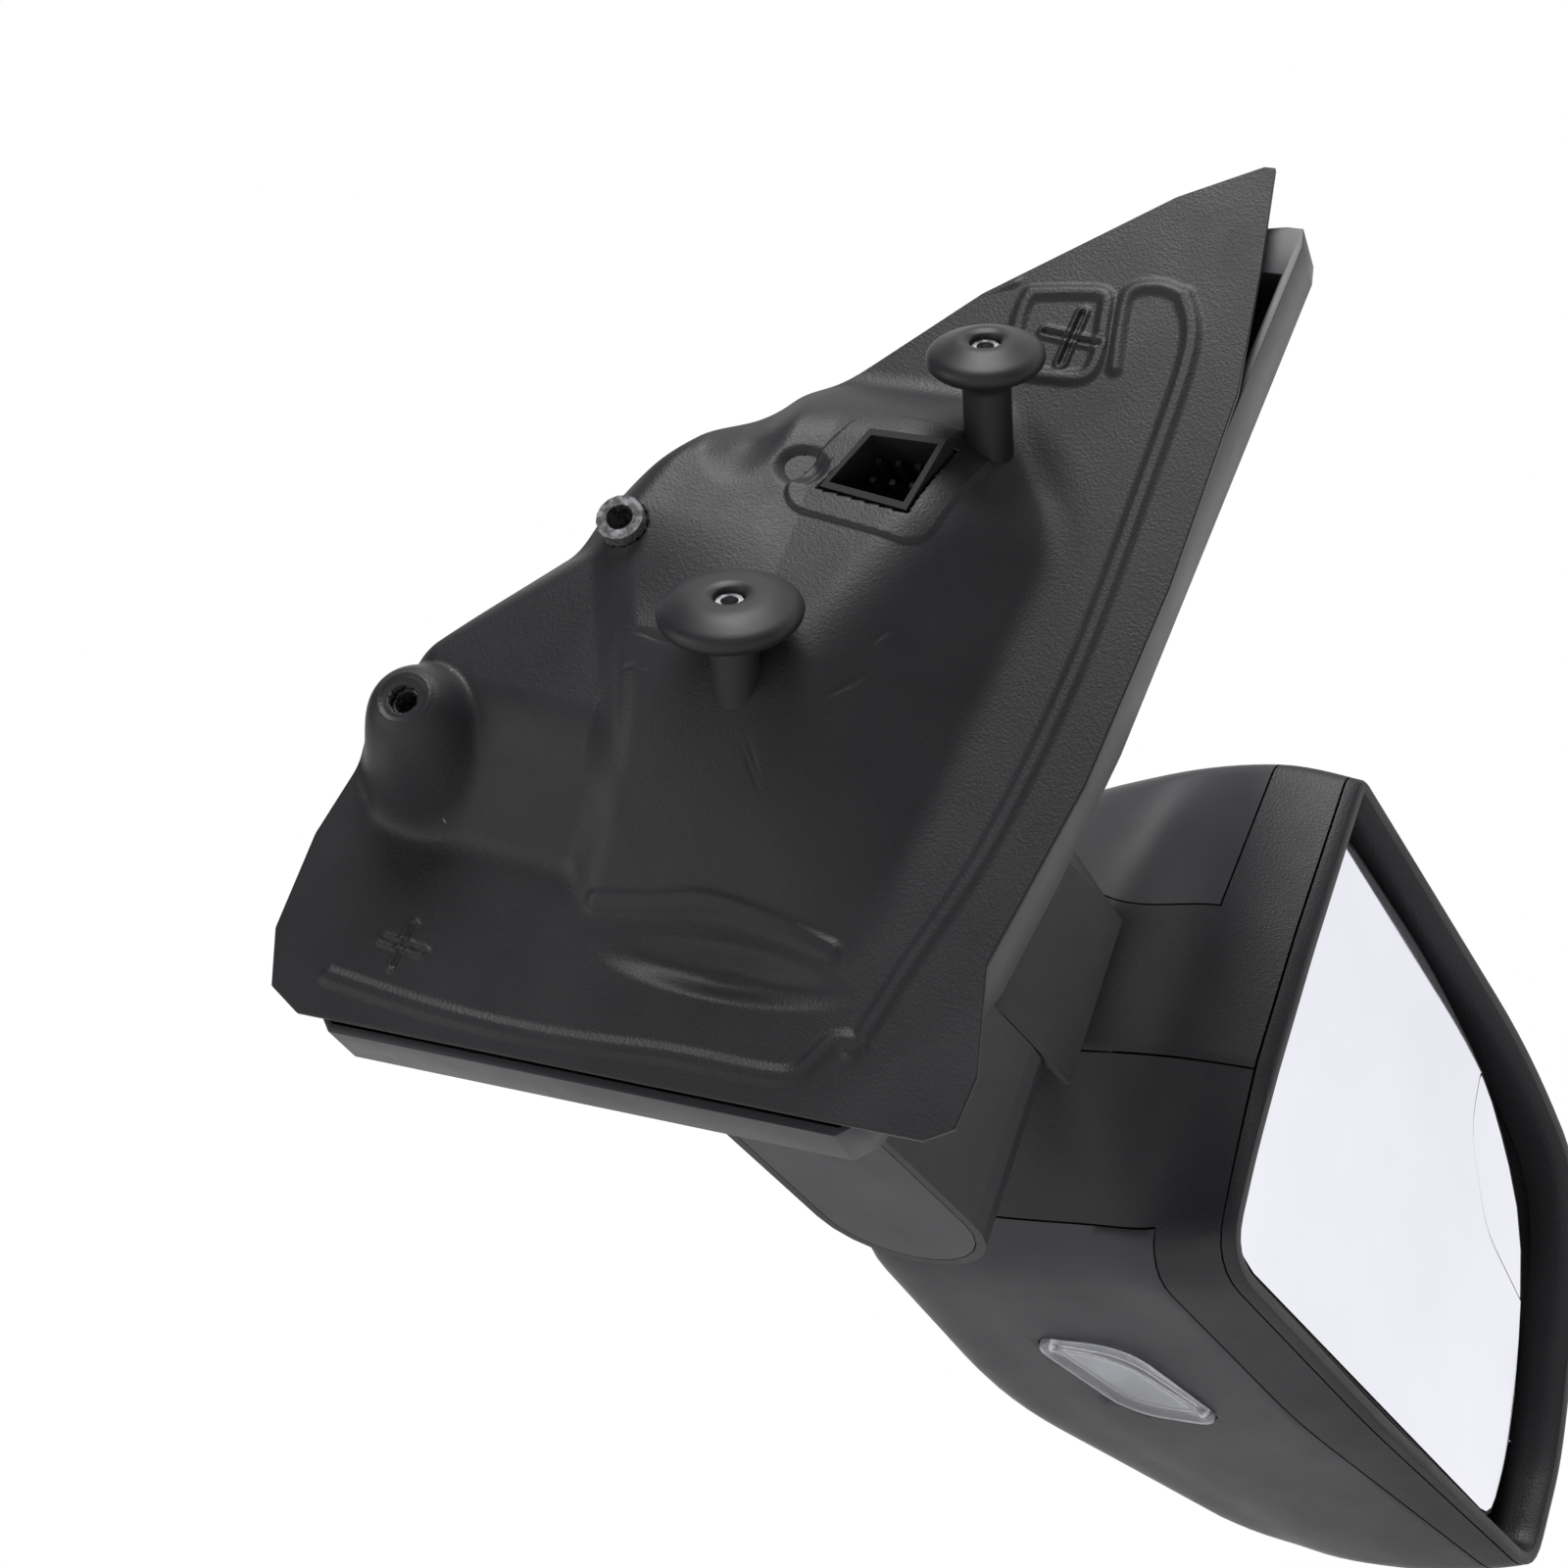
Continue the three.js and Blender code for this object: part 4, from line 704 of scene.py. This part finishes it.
def shell_normals():
    """Inward direction at each point of the head surface."""
    rows = len(head_rings)
    out = []
    for i, ring in enumerate(head_rings):
        line = []
        for j, p in enumerate(ring):
            round_way = ring[(j + 1) % RING] - ring[j - 1]
            if i + 1 < rows:
                after = head_rings[i + 1][j]
            else:
                after = head_rings[i - 1][((KEYS - 1) * KEY_STEP + ARC_STEPS - j) % RING]
            ahead = after - head_rings[max(i - 1, 0)][j]
            line.append(round_way.cross(ahead).normalized())
        out.append(line)
    return out


head_normals = shell_normals()


BOTTOM_START = 2 * KEY_STEP
TOP_START = 6 * KEY_STEP
FACET_START = 10 * KEY_STEP


def is_lower_wall(j):
    return ARC_STEPS <= j < BOTTOM_START


def is_bottom(j):
    return BOTTOM_START <= j < TOP_START


def is_top(j):
    return TOP_START <= j < FACET_START


def is_facet(j):
    return j >= FACET_START or j < ARC_STEPS


LAMP_OUTLINE = ((199, 92, 9), (206, 60, 14), (254, 47, 9), (249, 80, 14))
LAMP_CENTRE = (226, 69)
BOTTOM_Z = 27


def lamp_loop(grow, steps=10):
    """The lamp's outline, grown or shrunk by moving its sides."""
    loop = smooth_profile(LAMP_OUTLINE, steps)
    xs = [p[0] for p in loop]
    ys = [p[1] for p in loop]
    sx = 1 + 2 * grow / (max(xs) - min(xs))
    sy = 1 + 2 * grow / (max(ys) - min(ys))
    cx, cy = LAMP_CENTRE
    return [(cx + (x - cx) * sx, cy + (y - cy) * sy) for x, y in loop]


def shell_piece(name, keep, slot, stands_for, roundness=0.0006):
    """A moulded shell: the kept cells, drawn in at their edges so that seams stay open."""
    rows, inner = [], []
    for i, ring in enumerate(head_rings):
        line, low = [], []
        for j, p in enumerate(ring):
            cells = [
                keep(i, j) and i < len(head_rings) - 1, keep(i, (j - 1) % RING) and i < len(head_rings) - 1,
                i > 0 and keep(i - 1, j), i > 0 and keep(i - 1, (j - 1) % RING)]
            along = (cells[0] + cells[1] > cells[2] + cells[3]) - (cells[0] + cells[1] < cells[2] + cells[3])
            side = (cells[0] + cells[2] > cells[1] + cells[3]) - (cells[0] + cells[2] < cells[1] + cells[3])
            q = p.copy()
            if along and 0 <= i + along < len(head_rings):
                way = head_rings[i + along][j] - p
                if way.length > 1e-6:
                    q += way.normalized() * SEAM_GAP
            if side:
                way = ring[(j + side) % RING] - p
                if way.length > 1e-6:
                    q += way.normalized() * SEAM_GAP
            line.append(head_point(*(q + head_normals[i][j] * DRAWN_IN)))
            low.append(head_point(*(q + head_normals[i][j] * SHELL)))
        rows.append(line)
        inner.append(low)
    verts, faces = grid_shell(rows, inner, True, keep)
    piece = new_piece(name, verts, faces, "head", slot, stands_for)
    tidy_mesh(piece)
    bevel(piece, roundness, 3, 50)
    return piece


def cut_with(piece, loop, z0, z1, name):
    """Cuts a vertical hole of outline `loop` (head g, f) through a piece, with its modifiers kept."""
    count = len(loop)
    verts = [head_point(g, f, z) for z in (z0, z1) for g, f in loop]
    faces = [(k, (k + 1) % count, count + (k + 1) % count, count + k) for k in range(count)]
    faces += [tuple(range(count))[::-1], tuple(range(count, 2 * count))]
    mesh = bpy.data.meshes.new(name)
    mesh.from_pydata(verts, [], faces)
    cutter = bpy.data.objects.new(name, mesh)
    bpy.context.scene.collection.objects.link(cutter)
    modifier = piece.modifiers.new("hole", "BOOLEAN")
    modifier.object = cutter
    modifier.solver = "EXACT"
    piece.modifiers.move(len(piece.modifiers) - 1, 0)
    bpy.context.view_layer.update()
    shape = bpy.data.meshes.new_from_object(
        piece.evaluated_get(bpy.context.evaluated_depsgraph_get()))
    piece.modifiers.clear()
    piece.data = shape
    bpy.data.objects.remove(cutter)
    tidy_mesh(piece)


def make_head_shells():
    shell_piece(
        "upper_housing_shell",
        lambda i, j: (LIP_ROW <= i < SEAM_ROW and (is_top(j) or is_facet(j)))
        or (i >= SEAM_ROW and is_facet(j)),
        "grained_black", ["upper_housing"])
    shell_piece(
        "lower_housing_shell",
        lambda i, j: (LIP_ROW <= i < SEAM_ROW and (is_lower_wall(j) or is_bottom(j)))
        or (i >= SEAM_ROW and is_lower_wall(j)),
        "grained_black", ["lower_housing"])
    shell_piece("skull_cap_shell", lambda i, j: i >= SEAM_ROW and is_top(j), "smooth_black", ["skull_cap"])
    lower = shell_piece(
        "lower_cover_shell", lambda i, j: i >= SEAM_ROW and is_bottom(j), "smooth_black", ["lower_cover"])
    cut_with(lower, lamp_loop(SEAM_GAP), 10, 40, "lamp_hole")
    bevel(lower, 0.0006, 3, 50)


LIP = 6
COLLAR_END = 17


def rim_loop(ring, inset, f=None):
    out = []
    for j, p in enumerate(ring):
        along = ring[(j + 1) % RING] - ring[j - 1]
        along.y = 0
        along.normalize()
        inward = Vector((-along.z, 0, along.x))
        out.append(Vector((p.x, p.y if f is None else f, p.z)) + inset * inward)
    return out


def make_rim_bezel():
    rear, seam = head_rings[0], head_rings[LIP_ROW]
    edge = rim_loop([s + (r - s).normalized() * 0.2 for r, s in zip(rear, seam)], DRAWN_IN)
    rounding = [r.lerp(e, 0.22) for r, e in zip(rim_loop(rear, DRAWN_IN), edge)]
    loops = [
        rim_loop(rear, 0.9, 0.25), rounding, edge, rim_loop(edge, SHELL + 0.6), rim_loop(rear, 5.3, LIP + 1),
        rim_loop(rear, 5.5, COLLAR_END), rim_loop(rear, 7.1, COLLAR_END), rim_loop(rear, 6.4, 7),
        rim_loop(rear, 5.4, 2.2), rim_loop(rear, 4.2, 0.5), rim_loop(rear, 2.6, 0.2)]
    count = len(loops)
    verts = [head_point(*p) for loop in loops for p in loop]
    faces = []
    for i in range(count):
        n = (i + 1) % count
        for j in range(RING):
            k = (j + 1) % RING
            faces.append((i * RING + j, i * RING + k, n * RING + k, n * RING + j))
    bezel = new_piece("rim_bezel_shell", verts, faces, "head", "grained_black", ["rim_bezel"])
    tidy_mesh(bezel)
    bevel(bezel, 0.0008, 3, 35)


# ---- lamp lens: a stepped, frosted rim round a clear window ----
def make_lamp_lens():
    levels = [
        (-SEAM_GAP / 2, BOTTOM_Z + 5), (-SEAM_GAP / 2, BOTTOM_Z - 0.4),
        (-0.9, BOTTOM_Z - 1.1), (-3.4, BOTTOM_Z - 1.1),
        (-3.9, BOTTOM_Z - 0.5), (-5.6, BOTTOM_Z - 0.3), (-6.1, BOTTOM_Z + 0.2), (-7.6, BOTTOM_Z + 0.3)]
    loops = [[head_point(g, f, z) for g, f in lamp_loop(grow)] for grow, z in levels]
    back = [(-7.4, BOTTOM_Z + 1.6), (-3.0, BOTTOM_Z + 1.4), (-2.6, BOTTOM_Z + 5)]
    loops_back = [[head_point(g, f, z) for g, f in lamp_loop(grow)] for grow, z in back]
    count = len(loops[0])
    verts = [p for loop in loops + loops_back for p in loop]
    total = len(loops) + len(loops_back)
    faces = []
    for i in range(total):
        n = (i + 1) % total
        if i == len(loops) - 1:
            continue
        for j in range(count):
            k = (j + 1) % count
            faces.append((i * count + j, i * count + k, n * count + k, n * count + j))
    front, behind = len(loops) - 1, len(loops)
    faces.append(tuple(front * count + j for j in range(count)))
    faces.append(tuple(behind * count + j for j in reversed(range(count))))
    lens = new_piece("lamp_lens_clear", verts, faces, "head", "clear_lens", ["lamp_lens"])
    tidy_mesh(lens)


# ---- plain moulded parts: the CAD shape with its edges rounded ----
ROUNDED = {
    "neck_cover": ("head", 0.0012),
    "sail_cover": ("door_side", 0.0008),
}


def make_rounded_parts():
    for name, (body, width) in ROUNDED.items():
        node = frame["nodes"][name]
        piece = bpy.data.objects.new(f"{name}_rounded", node.data.copy())
        piece.matrix_world = node.matrix_world
        bpy.context.scene.collection.objects.link(piece)
        mesh = bmesh.new()
        mesh.from_mesh(piece.data)
        bmesh.ops.remove_doubles(mesh, verts=mesh.verts, dist=0.00001)
        flat = math.radians(1)
        bmesh.ops.dissolve_limit(mesh, angle_limit=flat, verts=mesh.verts, edges=mesh.edges)
        mesh.to_mesh(piece.data)
        mesh.free()
        piece.data.shade_smooth()
        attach(piece, body)
        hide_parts(name)
        bevel(piece, width, 3, 35)


# ---- light and floor ----
FLOOR_DROP = 0.75
FLOOR_HALF = 8


def make_stage():
    floor_z = min(corner.z for corner in cad_box) - FLOOR_DROP
    size = FLOOR_HALF
    mesh = bpy.data.meshes.new("floor")
    mesh.from_pydata(
        [(-size, -size, floor_z), (size, -size, floor_z), (size, size, floor_z), (-size, size, floor_z)],
        [], [(0, 1, 2, 3)])
    n = Nodes("floor_paint")
    n.link(n.blend(n.noise(3, 3), (0.86, 0.86, 0.86), (0.9, 0.9, 0.9)), n.shader.inputs["Base Color"])
    n.shader.inputs["Roughness"].default_value = 0.8
    mesh.materials.append(n.material)
    floor = bpy.data.objects.new("floor", mesh)
    bpy.context.scene.collection.objects.link(floor)


def add_light(name, place, size, power):
    light = bpy.data.lights.new(name, "AREA")
    light.shape = "DISK"
    light.size = size
    light.energy = power
    obj = bpy.data.objects.new(name, light)
    bpy.context.scene.collection.objects.link(obj)
    centre = (cad_box[0] + cad_box[1]) / 2
    obj.location = centre + place
    obj.rotation_mode = "QUATERNION"
    obj.rotation_quaternion = (-place).to_track_quat("-Z", "Y")


BRIGHT_SIDE = Vector((0.75, -0.1, 0.65)).normalized()
DIM = 0.07  # strength of the world away from the bright side, where it is 1
FADE = (0.1, 0.6)  # cosines to the bright side between which the world brightens


def make_lights():
    """A soft studio: bright above and outboard, dim below and inboard, and two soft lamps."""
    world = bpy.data.worlds.new("studio")
    world.use_nodes = True
    tree = world.node_tree
    way = tree.nodes.new("ShaderNodeTexCoord")
    along = tree.nodes.new("ShaderNodeVectorMath")
    along.operation = "DOT_PRODUCT"
    along.inputs[1].default_value = BRIGHT_SIDE
    fade = tree.nodes.new("ShaderNodeMapRange")
    fade.interpolation_type = "SMOOTHSTEP"
    for socket, number in zip(fade.inputs[1:5], (*FADE, DIM, 1.0)):
        socket.default_value = number
    tree.links.new(way.outputs["Generated"], along.inputs[0])
    tree.links.new(along.outputs["Value"], fade.inputs[0])
    tree.links.new(fade.outputs[0], tree.nodes["Background"].inputs["Strength"])
    tree.nodes["Background"].inputs["Color"].default_value = (1, 1, 1, 1)
    bpy.context.scene.world = world
    bpy.context.scene.view_settings.view_transform = "Standard"
    add_light("key", 1.35 * view_up - 0.1 * view_right - 0.45 * view_ahead, 0.7, 18)
    add_light("side", -1.3 * view_right + 0.1 * view_up - 0.6 * view_ahead, 0.8, 3)


make_stage()
make_lights()
dress_cad_nodes()
make_seal_sheet()
make_dowels()
make_head_shells()
make_rim_bezel()
make_lamp_lens()
make_rounded_parts()
